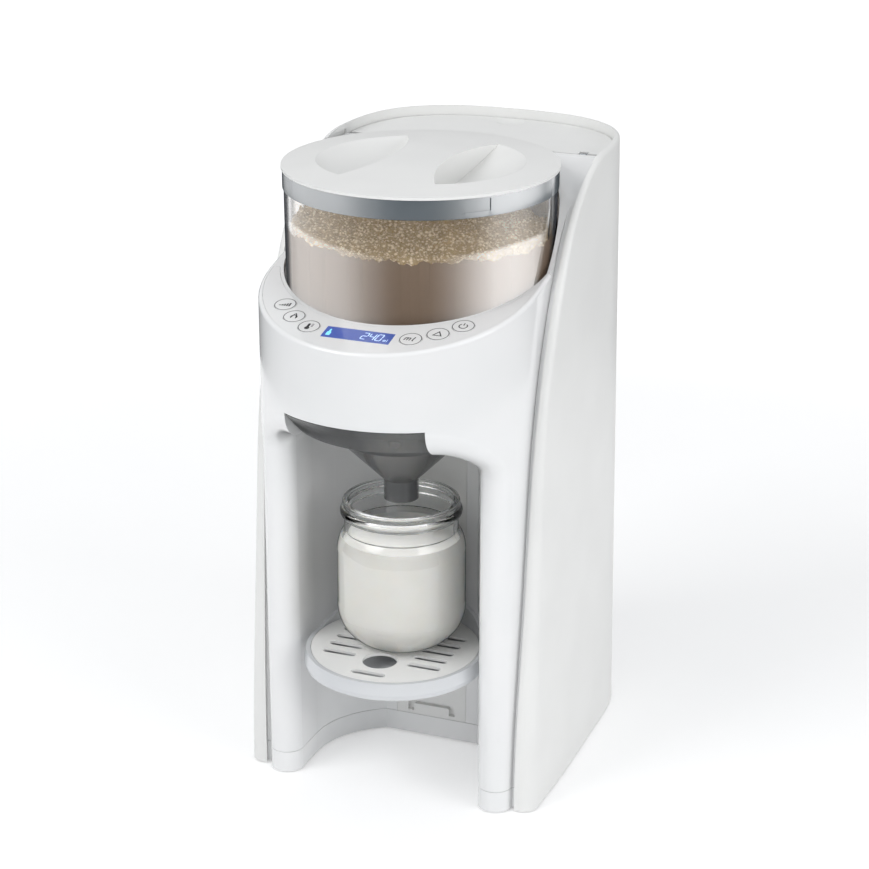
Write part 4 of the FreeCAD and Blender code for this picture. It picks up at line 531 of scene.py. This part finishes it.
def print_fills(name, place, outlines, key, body):
    """Printed filled shapes on a face."""
    vertices, faces = [], []
    for outline in outlines:
        base = len(vertices)
        vertices += [place @ Vector((u, v, 0)) for u, v in outline]
        faces.append(tuple(range(base, len(vertices))))
    return piece(name, vertices, faces, key, body)


def arc(cx, cy, r, a0, a1, steps=16):
    """Points along a circle from one angle to another, in degrees."""
    angles = [radians(a0 + (a1 - a0) * i / steps) for i in range(steps + 1)]
    return [(cx + r * cos(a), cy + r * sin(a)) for a in angles]


def arc_through(start, middle, end, steps):
    """Points along the circle through three points."""
    (ax, ay), (bx, by), (cx, cy) = start, middle, end
    d = 2 * (ax * (by - cy) + bx * (cy - ay) + cx * (ay - by))
    a2, b2, c2 = ax * ax + ay * ay, bx * bx + by * by, cx * cx + cy * cy
    ux = (a2 * (by - cy) + b2 * (cy - ay) + c2 * (ay - by)) / d
    uy = (a2 * (cx - bx) + b2 * (ax - cx) + c2 * (bx - ax)) / d
    r = sqrt((ax - ux) ** 2 + (ay - uy) ** 2)
    first, last = atan2(ay - uy, ax - ux), atan2(cy - uy, cx - ux)
    turn = (last - first + pi) % (2 * pi) - pi
    return [(ux + r * cos(first + turn * i / steps), uy + r * sin(first + turn * i / steps))
            for i in range(steps + 1)]


def circle(cx, cy, r, steps=48):
    """Points round a whole circle, for a closed line or a filled shape."""
    return arc(cx, cy, r, 0, 360 * (steps - 1) / steps, steps - 1)


# ---- signs, in millimetres about the middle of a button: (filled shapes, lines) ---------------

def level_icon():
    """Five bars of rising height."""
    left, pitch, wide, foot, lowest, rise = -3.0, 1.3, 0.9, -1.6, -0.8, 0.65
    bars = []
    for i in range(5):
        x, top = left + pitch * i, lowest + rise * i
        bars.append([(x, foot), (x + wide, foot), (x + wide, top), (x, top)])
    return bars, []


def water_icon():
    """A drop."""
    drop = arc(0, -0.7, 1.7, 215, -35, 20) + [(0.75, 1.4), (0, 2.7), (-0.75, 1.4)]
    return [], [(drop, True)]


def heat_icon():
    """A thermometer with three ticks."""
    bulb = circle(-0.6, -1.6, 1.4, 24)
    tube = [(-1.3, -1.4), (0.1, -1.4), (0.1, 2.8), (-1.3, 2.8)]
    ticks = [[(0.8, y), (2.0, y), (2.0, y + 0.5), (0.8, y + 0.5)] for y in (0.1, 1.2, 2.3)]
    return [bulb, tube] + ticks, []


def unit_icon():
    """The unit, ml."""
    stem = [(-3.3, -1.5), (-2.8, 1.0)]
    arch = [(-2.9, 0.3), (-2.4, 1.0), (-1.7, 1.0), (-1.5, 0.5), (-1.9, -1.5)]
    second = [(-1.55, 0.3), (-1.0, 1.0), (-0.3, 1.0), (-0.1, 0.5), (-0.5, -1.5)]
    tall = [(2.0, 2.3), (1.2, -1.0), (1.4, -1.45), (2.0, -1.5)]
    return [], [(line, False) for line in (stem, arch, second, tall)]


def start_icon():
    """A triangle."""
    return [], [([(-2.2, -1.6), (2.2, -1.6), (0.0, 2.3)], True)]


def power_icon():
    """An open ring with a bar."""
    return [], [(arc(0, -0.2, 2.2, 125, 415, 28), False), ([(0, 0.5), (0, 2.7)], False)]


ICONS = {"level": level_icon, "water": water_icon, "heat": heat_icon,
         "unit": unit_icon, "start": start_icon, "power": power_icon}

# The segments that are lit for each figure:
# top, upper right, lower right, foot, lower left, upper left, middle
LIT = {"2": (1, 1, 0, 1, 1, 0, 1), "4": (0, 1, 1, 0, 0, 1, 1), "0": (1, 1, 1, 1, 1, 1, 0)}

FIGURES = "240"
FIGURE_X, FIGURE_Y = 2.2, -3.0     # foot of the first figure
FIGURE_PITCH = 4.1
FIGURE_W, FIGURE_H = 2.9, 6.0
FIGURE_LEAN = 0.12
FIGURE_GAP = 0.18                  # between two segments
UNIT_SIGN = [
    [(15.0, -3.1), (15.2, -1.6), (15.7, -1.6), (15.6, -3.1)],
    [(15.7, -1.6), (16.3, -1.6), (16.2, -3.1)],
    [(17.3, -0.7), (17.0, -3.1)],
]
BOTTLE_SIGN = [(-17.2, -3.4), (-14.8, -3.4), (-14.8, -0.4), (-15.4, 0.6), (-15.6, 2.8),
               (-16.4, 2.8), (-16.6, 0.6), (-17.2, -0.4)]


def figure_lines(figure, x, y):
    """Seven-segment figure as lines, leaning to the right."""
    w, h, gap = FIGURE_W, FIGURE_H, FIGURE_GAP

    def at(u, v):
        return (x + u + FIGURE_LEAN * v, y + v)

    segments = [
        (at(gap, h), at(w - gap, h)), (at(w, h - gap), at(w, h / 2 + gap)),
        (at(w, h / 2 - gap), at(w, gap)), (at(w - gap, 0), at(gap, 0)),
        (at(0, gap), at(0, h / 2 - gap)), (at(0, h / 2 + gap), at(0, h - gap)),
        (at(gap, h / 2), at(w - gap, h / 2)),
    ]
    return [(list(ends), False) for ends, lit in zip(segments, LIT[figure]) if lit]


# ---- settings --------------------------------------------------------------------------------

class FormulaMakerSizes(PropertyGroup):
    """Sizes that a user would change."""
    ring_width: FloatProperty(
        name="Button ring", description="Width of the printed ring round each button, mm",
        default=0.45, min=0.1, max=1.0)
    ring_radius: FloatProperty(
        name="Ring radius", description="Radius of the printed ring, mm",
        default=5.7, min=3.0, max=6.0)
    icon_line: FloatProperty(
        name="Icon line", description="Width of the icons' lines, mm",
        default=0.62, min=0.1, max=1.0)
    figure_line: FloatProperty(
        name="Figure line", description="Width of the display's segments, mm",
        default=0.5, min=0.1, max=1.0)
    unit_line: FloatProperty(
        name="Unit line", description="Width of the lines of the display's unit, mm",
        default=0.28, min=0.1, max=1.0)
    powder_level: FloatProperty(
        name="Powder level", description="Height of the powder at the front wall, mm",
        default=319.0, min=290.0, max=335.0)
    powder_clump: FloatProperty(
        name="Clump height", description="Height of the powder's clumps, mm",
        default=2.6, min=0.0, max=6.0)
    milk_level: FloatProperty(
        name="Milk level", description="Height of the milk in the bottle, mm",
        default=148.0, min=100.0, max=160.0)
    round_steps: IntProperty(
        name="Round steps", description="Facets round a turned piece",
        default=180, min=24, max=360)


class FormulaMakerColours(PropertyGroup):
    """Colours of the stage."""
    floor: FloatVectorProperty(
        name="Floor", description="Colour of the floor",
        subtype="COLOR", size=3, default=(0.86, 0.86, 0.86), min=0, max=1)
    surround: FloatVectorProperty(
        name="Surround", description="Colour of the room's light",
        subtype="COLOR", size=3, default=(0.95, 0.97, 1.0), min=0, max=1)


# ---- operators -------------------------------------------------------------------------------

class FORMULA_OT_shell(Operator):
    """Finish the cover, the front housing, the base and the height rail"""
    bl_idname = "formula.shell"
    bl_label = "Shell"

    def execute(self, context):
        dress("satin_white", "rear_cover", "height_rail", "tank_lid")
        dress("gloss_white", "front_housing", "base_tray", "alcove_liner")
        dress("plain_white", "hopper_seat")
        dress("rubber", "rubber_feet")
        dress("steel", "base_screws")
        dress("black_nylon", "power_inlet")
        return {"FINISHED"}


class FORMULA_OT_console(Operator):
    """Finish the control panel and print the buttons"""
    bl_idname = "formula.console"
    bl_label = "Console"

    def execute(self, context):
        sizes = context.scene.formula_sizes
        dress("gloss_white", "control_panel")
        for key, angle in BUTTON_ANGLES.items():
            body = key + "_button"
            dress("gloss_white", body)
            place = console_place(BUTTON_RING_R, angle, BUTTON_PROUD + INK_LIFT)
            fills, lines = ICONS[key]()
            ring = [(circle(0, 0, sizes.ring_radius), True)]
            print_lines(key + "_ring", place, ring, sizes.ring_width, "ink", body)
            if fills:
                print_fills(key + "_icon_fill", place, fills, "dark_ink", body)
            if lines:
                print_lines(key + "_icon_line", place, lines, sizes.icon_line, "dark_ink", body)
        return {"FINISHED"}


class FORMULA_OT_display(Operator):
    """Light the display and show its figures"""
    bl_idname = "formula.display"
    bl_label = "Display"

    def execute(self, context):
        sizes = context.scene.formula_sizes
        body = body_of(frame["nodes"]["display_window"])[0]
        dress("display", "display_window")
        dress("black_nylon", "display_module")
        dress("board", "control_board")
        place = console_place(WINDOW_RING_R, 0, FIGURE_LIFT)
        lines = []
        for i, figure in enumerate(FIGURES):
            lines += figure_lines(figure, FIGURE_X + FIGURE_PITCH * i, FIGURE_Y)
        print_lines("display_figures", place, lines, sizes.figure_line, "segment", body)
        unit = [(points, False) for points in UNIT_SIGN]
        print_lines("display_unit", place, unit, sizes.unit_line, "segment", body)
        print_fills("display_bottle_sign", place, [BOTTLE_SIGN], "segment_cyan", body)
        return {"FINISHED"}


class FORMULA_OT_hopper(Operator):
    """Finish the powder hopper, its lid, band and seal"""
    bl_idname = "formula.hopper"
    bl_label = "Hopper"

    def execute(self, context):
        dress("clear_cup", "powder_hopper")
        dress("satin_white", "powder_lid")
        dress("band", "lid_band")
        dress("silicone", "lid_seal")
        return {"FINISHED"}


POWDER_STEPS = 480         # facets round the powder
POWDER_RINGS = 150         # rings of its open top
LUMP_SCALE = 0.11          # noise scales are per millimetre
CRUMB_LAYERS = ((0.35, 1.4), (0.8, 0.9))       # (noise scale, height in mm)
GRAIN_SCALE, GRAIN_HEIGHT = 0.55, 0.9


def powder_top(x, y, sizes):
    """Height of the open powder: tilted, with lumps, crumbs and grains."""
    tilt = -POWDER_TILT * x + POWDER_RISE * (y - HOPPER_Y)
    spot = Vector((x, y, 0))
    lumps = noise.fractal(spot * LUMP_SCALE, 0.9, 2.1, 4) * sizes.powder_clump
    crumbs = sum(abs(noise.noise(spot * scale)) * height for scale, height in CRUMB_LAYERS)
    specks = GRAIN_HEIGHT - GRAIN_HEIGHT * noise.voronoi(spot * GRAIN_SCALE)[0][0]
    return sizes.powder_level + tilt + lumps + crumbs + specks


class FORMULA_OT_powder(Operator):
    """Fill the hopper with clumped powder"""
    bl_idname = "formula.powder"
    bl_label = "Powder"

    def execute(self, context):
        sizes = context.scene.formula_sizes
        steps, rings = POWDER_STEPS, POWDER_RINGS
        turns = [2 * pi * i / steps for i in range(steps)]
        # The powder reaches a little into the cup's wall: no air shows between them
        foot_r = HOPPER_INNER_R + POWDER_FOOT_LAP
        closed_in = HOPPER_TAPER * (sizes.powder_level - HOPPER_FLOOR_Z)
        wall_r = HOPPER_INNER_R + POWDER_TOP_LAP - closed_in
        vertices = [(0, HOPPER_Y, powder_top(0, HOPPER_Y, sizes))]
        for k in range(1, rings + 1):
            r = wall_r * k / rings
            for a in turns:
                x, y = r * cos(a), HOPPER_Y + r * sin(a)
                vertices.append((x, y, powder_top(x, y, sizes)))
        foot = len(vertices)
        vertices += [(foot_r * cos(a), HOPPER_Y + foot_r * sin(a), HOPPER_FLOOR_Z) for a in turns]
        starts = [1 + k * steps for k in range(rings)] + [foot]
        faces = [(0, 1 + i, 1 + (i + 1) % steps) for i in range(steps)]
        for a, b in zip(starts, starts[1:]):
            for i in range(steps):
                j = (i + 1) % steps
                faces.append((a + i, b + i, b + j, a + j))
        faces.append(tuple(range(foot, foot + steps)))
        powder = piece("formula_powder", vertices, faces, "powder", "hopper", 55)
        return {"FINISHED"}


class FORMULA_OT_metering(Operator):
    """Finish the metering wheel, the stirrer and the drive"""
    bl_idname = "formula.metering"
    bl_label = "Metering and drive"

    def execute(self, context):
        dress("acetal", "metering_wheel", "drive_gear")
        dress("plain_white", "wheel_cover", "stirrer", "powder_chute")
        dress("bronze", "motor_pinion", "drive_bush")
        dress("steel", "gear_motor", "motor_bracket")
        return {"FINISHED"}


class FORMULA_OT_funnel(Operator):
    """Finish the mixing funnel and its rails"""
    bl_idname = "formula.funnel"
    bl_label = "Mixing funnel"

    def execute(self, context):
        dress("smoke", "mixing_funnel")
        dress("plain_white", "funnel_rail_left", "funnel_rail_right")
        return {"FINISHED"}


class FORMULA_OT_bottle(Operator):
    """Finish the bottle and pour the milk"""
    bl_idname = "formula.bottle"
    bl_label = "Bottle"

    def execute(self, context):
        sizes = context.scene.formula_sizes
        dress("bottle_glass", "bottle")
        level = sizes.milk_level
        r, neck_r = BOTTLE_INNER_R, BOTTLE_NECK_INNER_R
        heel_in, heel_up = BOTTLE_HEEL
        shoulder_in, shoulder_z = BOTTLE_SHOULDER
        low = arc_through((BOTTLE_FLOOR_R, BOTTLE_FLOOR_Z), (r - heel_in, BOTTLE_FLOOR_Z + heel_up),
                          (r, BOTTLE_HEEL_Z), 14)
        high = arc_through((r, BOTTLE_SHOULDER_Z), (r - shoulder_in, shoulder_z),
                           (neck_r, BOTTLE_NECK_Z), 12)
        wall = [(0, BOTTLE_FLOOR_Z)] + low + high
        # The milk wets the wall, so it reaches a little into the glass: no air shows between them
        inside = [(x + (MILK_LAP if x else 0), z - (MILK_LAP if z <= BOTTLE_FLOOR_Z + 0.01 else 0))
                  for x, z in wall]
        if level > inside[-1][1]:
            inside.append((neck_r + MILK_LAP, level + MILK_CREEP))
        inside = [(x, z) for x, z in inside if z <= level + MILK_CREEP]
        edge_r = inside[-1][0]
        inside += [(edge_r - 0.7, level + 0.05), (edge_r - 1.8, level - 0.2),
                   (edge_r - 4, level - 0.3), (0, level - 0.3)]
        milk = lathe("bottle_milk", inside, 0, BOTTLE_Y, "milk", "bottle", sizes.round_steps, 60)
        return {"FINISHED"}


class FORMULA_OT_stand(Operator):
    """Finish the bottle stand and its drip plate"""
    bl_idname = "formula.stand"
    bl_label = "Bottle stand"

    def execute(self, context):
        # The stand's white is painted greyer as shade.
        dress("stand_white_shaded", "bottle_stand")
        # The drip plate's white is painted brighter as light in the alcove.
        dress("plate_white_lit", "drip_plate")
        return {"FINISHED"}


class FORMULA_OT_works(Operator):
    """Finish the tank and the works behind it"""
    bl_idname = "formula.works"
    bl_label = "Tank and works"

    def execute(self, context):
        dress("clear_tank", "water_tank")
        dress("steel", "lid_hinge_pins")
        dress("acetal", "tank_valve")
        dress("plain_white", "valve_seat", "tank_shelf", "water_nozzle")
        dress("silicone", "valve_seal", "suction_hose", "pressure_hose", "hot_water_hose")
        dress("black_nylon", "water_pump")
        dress("aluminium", "heater")
        dress("board", "power_board")
        return {"FINISHED"}


# ---- stage, in metres ------------------------------------------------------------------------

CAMERA_YAW = 21.813391508      # degrees round the object from its front
CAMERA_PITCH = 20.471390343    # degrees down
CAMERA_PLACE = (0.47498, -1.19149, 0.66709)
CAMERA_LENS, CAMERA_SENSOR = 99.42, 36.0
CAMERA_REACH = 1.26            # from the cup's axis, seen from above

LAMP_TARGET = (0, -0.03, 0.18)
LAMPS = (                      # name, place, size, watts
    ("key_softbox", (-1.1, -1.5, 1.7), 1.3, 20.5),
    ("side_softbox", (1.9, -0.6, 0.75), 1.2, 13.5),
    ("front_softbox", (0.5, -1.75, 0.32), 0.9, 2.3),
    ("top_softbox", (0.2, 0.3, 2.1), 1.6, 1.6),
)
ROOM_LIGHT = 0.52              # strength of the room as a light
ROOM_SEEN = 0.97               # and as it is seen behind the object
FLOOR_HALF = 9.0
FLOOR_GLOW = (0.32, 0.75)      # lift of the floor as it is seen, near the object and far away
FLOOR_GLOW_REACH = (0.2, 2.5)  # where the lift starts to grow, and where it is full

CUP_R = 73.5 * MM              # outer wall of the clear cup
BANK_R = 0.7
BANK_STEPS = 180
BANK_FOOT, BANK_HEAD = 0.01, 0.45
OPEN_POWDER_Z = 319.5 * MM     # where the pressed powder ends at the cup's wall
BAND_FOOT_Z = 340.5 * MM       # where the lid's band starts
ROW_BLEND = 1.0 * MM           # half the height over which two rows blend
# The light bank round the object:
# (degrees from the front, brightness of its full rows, brightness of its dim row)
BANK = (
    (-180, 0.0, 0.0), (-134, 0.0, 0.0), (-126, 0.48, 0.3), (-117, 0.95, 0.5), (-105, 1.26, 0.6),
    (-98, 1.66, 0.65), (-83, 2.06, 0.7), (-70, 2.19, 0.71), (-49, 2.13, 0.5), (-39, 1.85, 0.3),
    (-30, 1.36, 0.2), (-21, 0.81, 0.1), (-12, 0.47, 0.05), (-4, 0.15, 0.0), (5, 0.0, 0.0),
    (21, 0.0, 0.0), (30, 0.08, 0.0), (38, 0.32, 0.0), (46, 0.69, 0.0), (55, 1.36, 0.02),
    (63, 2.07, 0.06), (72, 2.75, 0.4), (82, 3.58, 1.0), (92, 3.7, 1.26), (102, 3.73, 1.26),
    (113, 3.33, 1.0), (125, 2.72, 0.4), (140, 1.19, 0.07), (150, 1.5, 0.05), (160, 1.6, 0.05),
    (170, 1.2, 0.05), (177, 0.3, 0.0), (180, 0.0, 0.0),
)


def seen_directly(tree):
    """One where a ray comes from the camera, a mirror or a clear wall, else nought."""
    rays = add(tree, "ShaderNodeLightPath")
    glossy = add(tree, "ShaderNodeMath", {"operation": "MAXIMUM"},
                 {0: rays.outputs["Is Camera Ray"], 1: rays.outputs["Is Glossy Ray"]})
    return add(tree, "ShaderNodeMath", {"operation": "MAXIMUM"},
               {0: glossy.outputs[0], 1: rays.outputs["Is Transmission Ray"]}).outputs[0]


def bank_light(angle):
    """Brightness of the full rows and of the dim row at an angle from the front, in degrees."""
    for before, after in zip(BANK, BANK[1:]):
        if angle <= after[0]:
            share = (angle - before[0]) / (after[0] - before[0])
            return [before[k] + share * (after[k] - before[k]) for k in (1, 2)]
    return [0.0, 0.0]


def mirrored(z, half):
    """Height on the bank that the camera sees mirrored at this height of the cup, where the wall is
    turned by this angle from the camera.
    """
    reach = sqrt(BANK_R ** 2 - (CUP_R * sin(half)) ** 2) - CUP_R * cos(half)
    away = sqrt(CAMERA_REACH ** 2 + CUP_R ** 2 - 2 * CAMERA_REACH * CUP_R * cos(half))
    return z - reach * (CAMERA_PLACE[2] - z) / away


def light_bank(scene):
    """A ring of soft light panels that only shows in the clear cup and the band over it. Its dim
    row is the one that the empty part of the cup mirrors, so the crumbs behind it stay visible.
    """
    vertices, faces, light = [], [], []
    for i in range(BANK_STEPS + 1):
        angle = -180 + 360 * i / BANK_STEPS
        full, dim = bank_light(angle)
        half = radians((angle - CAMERA_YAW + 180) % 360 - 180) / 2
        level = OPEN_POWDER_Z - POWDER_TILT * CUP_R * sin(half + radians(CAMERA_YAW))
        rows = (
            (BANK_FOOT, full), (mirrored(level - ROW_BLEND, half), full),
            (mirrored(level + ROW_BLEND, half), dim),
            (mirrored(BAND_FOOT_Z - ROW_BLEND, half), dim),
            (mirrored(BAND_FOOT_Z + ROW_BLEND, half), full), (BANK_HEAD, full),
        )
        for z, power in rows:
            x, y = BANK_R * sin(radians(angle)), -BANK_R * cos(radians(angle))
            vertices.append((x, y, z))
            light.append(power)
    count = len(vertices) // (BANK_STEPS + 1)
    for i in range(BANK_STEPS):
        for k in range(count - 1):
            a, b = count * i + k, count * (i + 1) + k
            faces.append((a, b, b + 1, a + 1))
    mesh = bpy.data.meshes.new("light_bank")
    mesh.from_pydata(vertices, [], faces)
    strengths = mesh.attributes.new("power", "FLOAT", "POINT")
    strengths.data.foreach_set("value", light)
    bank = bpy.data.objects.new("light_bank", mesh)
    scene.collection.objects.link(bank)
    # Frosted panels over lamps: even white light whose strength is read from the mesh
    made, tree, output, _ = start_material("light_bank_frosted")
    read = add(tree, "ShaderNodeAttribute", {"attribute_name": "power"})
    glow = add(tree, "ShaderNodeEmission", {"Color": (1, 1, 1, 1)},
               {"Strength": read.outputs["Fac"]})
    tree.links.new(glow.outputs[0], output.inputs["Surface"])
    mesh.materials.append(made)
    bank.visible_camera = False
    bank.visible_diffuse = False
    bank.visible_transmission = False
    bank.visible_shadow = False
    lit = bpy.data.collections.new("light_bank_receivers")
    for name in ("powder_hopper", "lid_band"):
        lit.objects.link(frame["nodes"][name])
    bank.light_linking.receiver_collection = lit


def hide_console_from_mirrors():
    """The console stays out of mirrors, so the clear cup shows the studio and not the white slope
    below it.
    """
    hidden = ["front_housing", "control_panel", "hopper_seat", "display_window", "display_module",
              "control_board"] + [key + "_button" for key in BUTTON_ANGLES]
    for name in hidden:
        frame["nodes"][name].visible_glossy = False
    for made in bpy.data.objects:
        printed = made.name.endswith(("_ring", "_icon_fill", "_icon_line"))
        if printed or made.name.startswith("display_"):
            made.visible_glossy = False


def lay_floor(scene, colour):
    """A painted floor that looks white away from the object and keeps its shadow."""
    h = FLOOR_HALF
    mesh = bpy.data.meshes.new("floor")
    mesh.from_pydata([(-h, -h, 0), (h, -h, 0), (h, h, 0), (-h, h, 0)], [], [(0, 1, 2, 3)])
    floor = bpy.data.objects.new("floor", mesh)
    scene.collection.objects.link(floor)
    # Paint, rolled: matt, with roughness that varies a little, lifted toward white where it is seen
    made, tree, output, place = start_material("studio_floor_painted")
    cloud = add(tree, "ShaderNodeTexNoise", {"Scale": grains(60.0)}, {"Vector": place})
    rough = add(tree, "ShaderNodeMapRange", {"To Min": 0.55, "To Max": 0.62},
                {"Value": cloud.outputs["Fac"]})
    paint = add(tree, "ShaderNodeBsdfPrincipled", {"Base Color": list(colour) + [1]},
                {"Roughness": rough.outputs["Result"]})
    reach = add(tree, "ShaderNodeVectorMath", {"operation": "LENGTH"}, {0: place})
    lift = add(tree, "ShaderNodeMapRange",
               {"From Min": FLOOR_GLOW_REACH[0], "From Max": FLOOR_GLOW_REACH[1],
                "To Min": FLOOR_GLOW[0], "To Max": FLOOR_GLOW[1]},
               {"Value": reach.outputs["Value"]})
    glow = add(tree, "ShaderNodeEmission", {"Color": (1, 1, 1, 1)},
               {"Strength": lift.outputs["Result"]})
    both = add(tree, "ShaderNodeAddShader", None, {0: paint.outputs[0], 1: glow.outputs[0]})
    mix = add(tree, "ShaderNodeMixShader", None,
              {0: seen_directly(tree), 1: paint.outputs[0], 2: both.outputs[0]})
    tree.links.new(mix.outputs[0], output.inputs["Surface"])
    floor.data.materials.append(made)


def light_room(scene, colour):
    """The room's even light, and the near white that is seen behind the object."""
    world = bpy.data.worlds.new("studio")
    scene.world = world
    world.use_nodes = True
    sky = world.node_tree
    sky.nodes.clear()
    room = add(sky, "ShaderNodeBackground", {"Color": list(colour) + [1], "Strength": ROOM_LIGHT})
    seen = add(sky, "ShaderNodeBackground", {"Color": (1, 1, 1, 1), "Strength": ROOM_SEEN})
    choice = add(sky, "ShaderNodeMixShader", None,
                 {0: seen_directly(sky), 1: room.outputs[0], 2: seen.outputs[0]})
    add(sky, "ShaderNodeOutputWorld", None, {"Surface": choice.outputs[0]})


def hang_lamps(scene):
    """Square soft lamps that look at the object."""
    for name, spot, size, power in LAMPS:
        light = bpy.data.lights.new(name, "AREA")
        light.shape = "SQUARE"
        light.size = size
        light.energy = power
        lamp = bpy.data.objects.new(name, light)
        lamp.location = spot
        look = Vector(LAMP_TARGET) - Vector(spot)
        lamp.rotation_euler = look.to_track_quat("-Z", "Y").to_euler()
        scene.collection.objects.link(lamp)


def place_camera(scene):
    """The camera at the photograph's angle."""
    yaw, pitch = radians(CAMERA_YAW), radians(CAMERA_PITCH)
    back = Vector((sin(yaw) * cos(pitch), -cos(yaw) * cos(pitch), sin(pitch)))
    lens = bpy.data.cameras.new("camera")
    lens.lens = CAMERA_LENS
    lens.sensor_width = CAMERA_SENSOR
    lens.sensor_fit = "HORIZONTAL"
    camera = bpy.data.objects.new("camera", lens)
    camera.location = CAMERA_PLACE
    camera.rotation_euler = (-back).to_track_quat("-Z", "Y").to_euler()
    scene.collection.objects.link(camera)
    scene.camera = camera


class FORMULA_OT_stage(Operator):
    """Lay the floor, hang the lights and place the camera"""
    bl_idname = "formula.stage"
    bl_label = "Stage"

    def execute(self, context):
        scene = context.scene
        lay_floor(scene, scene.formula_colours.floor)
        light_room(scene, scene.formula_colours.surround)
        light_bank(scene)
        hide_console_from_mirrors()
        hang_lamps(scene)
        place_camera(scene)
        scene.view_settings.view_transform = "Standard"
        return {"FINISHED"}


STEPS = (FORMULA_OT_shell, FORMULA_OT_console, FORMULA_OT_display, FORMULA_OT_hopper,
         FORMULA_OT_powder, FORMULA_OT_metering, FORMULA_OT_funnel, FORMULA_OT_bottle,
         FORMULA_OT_stand, FORMULA_OT_works, FORMULA_OT_stage)


class FORMULA_PT_panel(Panel):
    """Lists the settings and the steps in the 3D view's sidebar"""
    bl_idname = "FORMULA_PT_panel"
    bl_label = "Formula maker"
    bl_space_type = "VIEW_3D"
    bl_region_type = "UI"
    bl_category = "Formula maker"

    def draw(self, context):
        for group in (context.scene.formula_sizes, context.scene.formula_colours):
            for key in group.bl_rna.properties.keys():
                if key not in ("rna_type", "name"):
                    self.layout.prop(group, key)
        for step in STEPS:
            self.layout.operator(step.bl_idname)


CLASSES = (FormulaMakerSizes, FormulaMakerColours) + STEPS + (FORMULA_PT_panel,)


def register():
    for item in CLASSES:
        bpy.utils.register_class(item)
    bpy.types.Scene.formula_sizes = PointerProperty(type=FormulaMakerSizes)
    bpy.types.Scene.formula_colours = PointerProperty(type=FormulaMakerColours)


def unregister():
    del bpy.types.Scene.formula_sizes
    del bpy.types.Scene.formula_colours
    for item in reversed(CLASSES):
        bpy.utils.unregister_class(item)


def main():
    register()
    for step in STEPS:
        group, name = step.bl_idname.split(".")
        getattr(getattr(bpy.ops, group), name)()


if __name__ == "__main__":
    main()
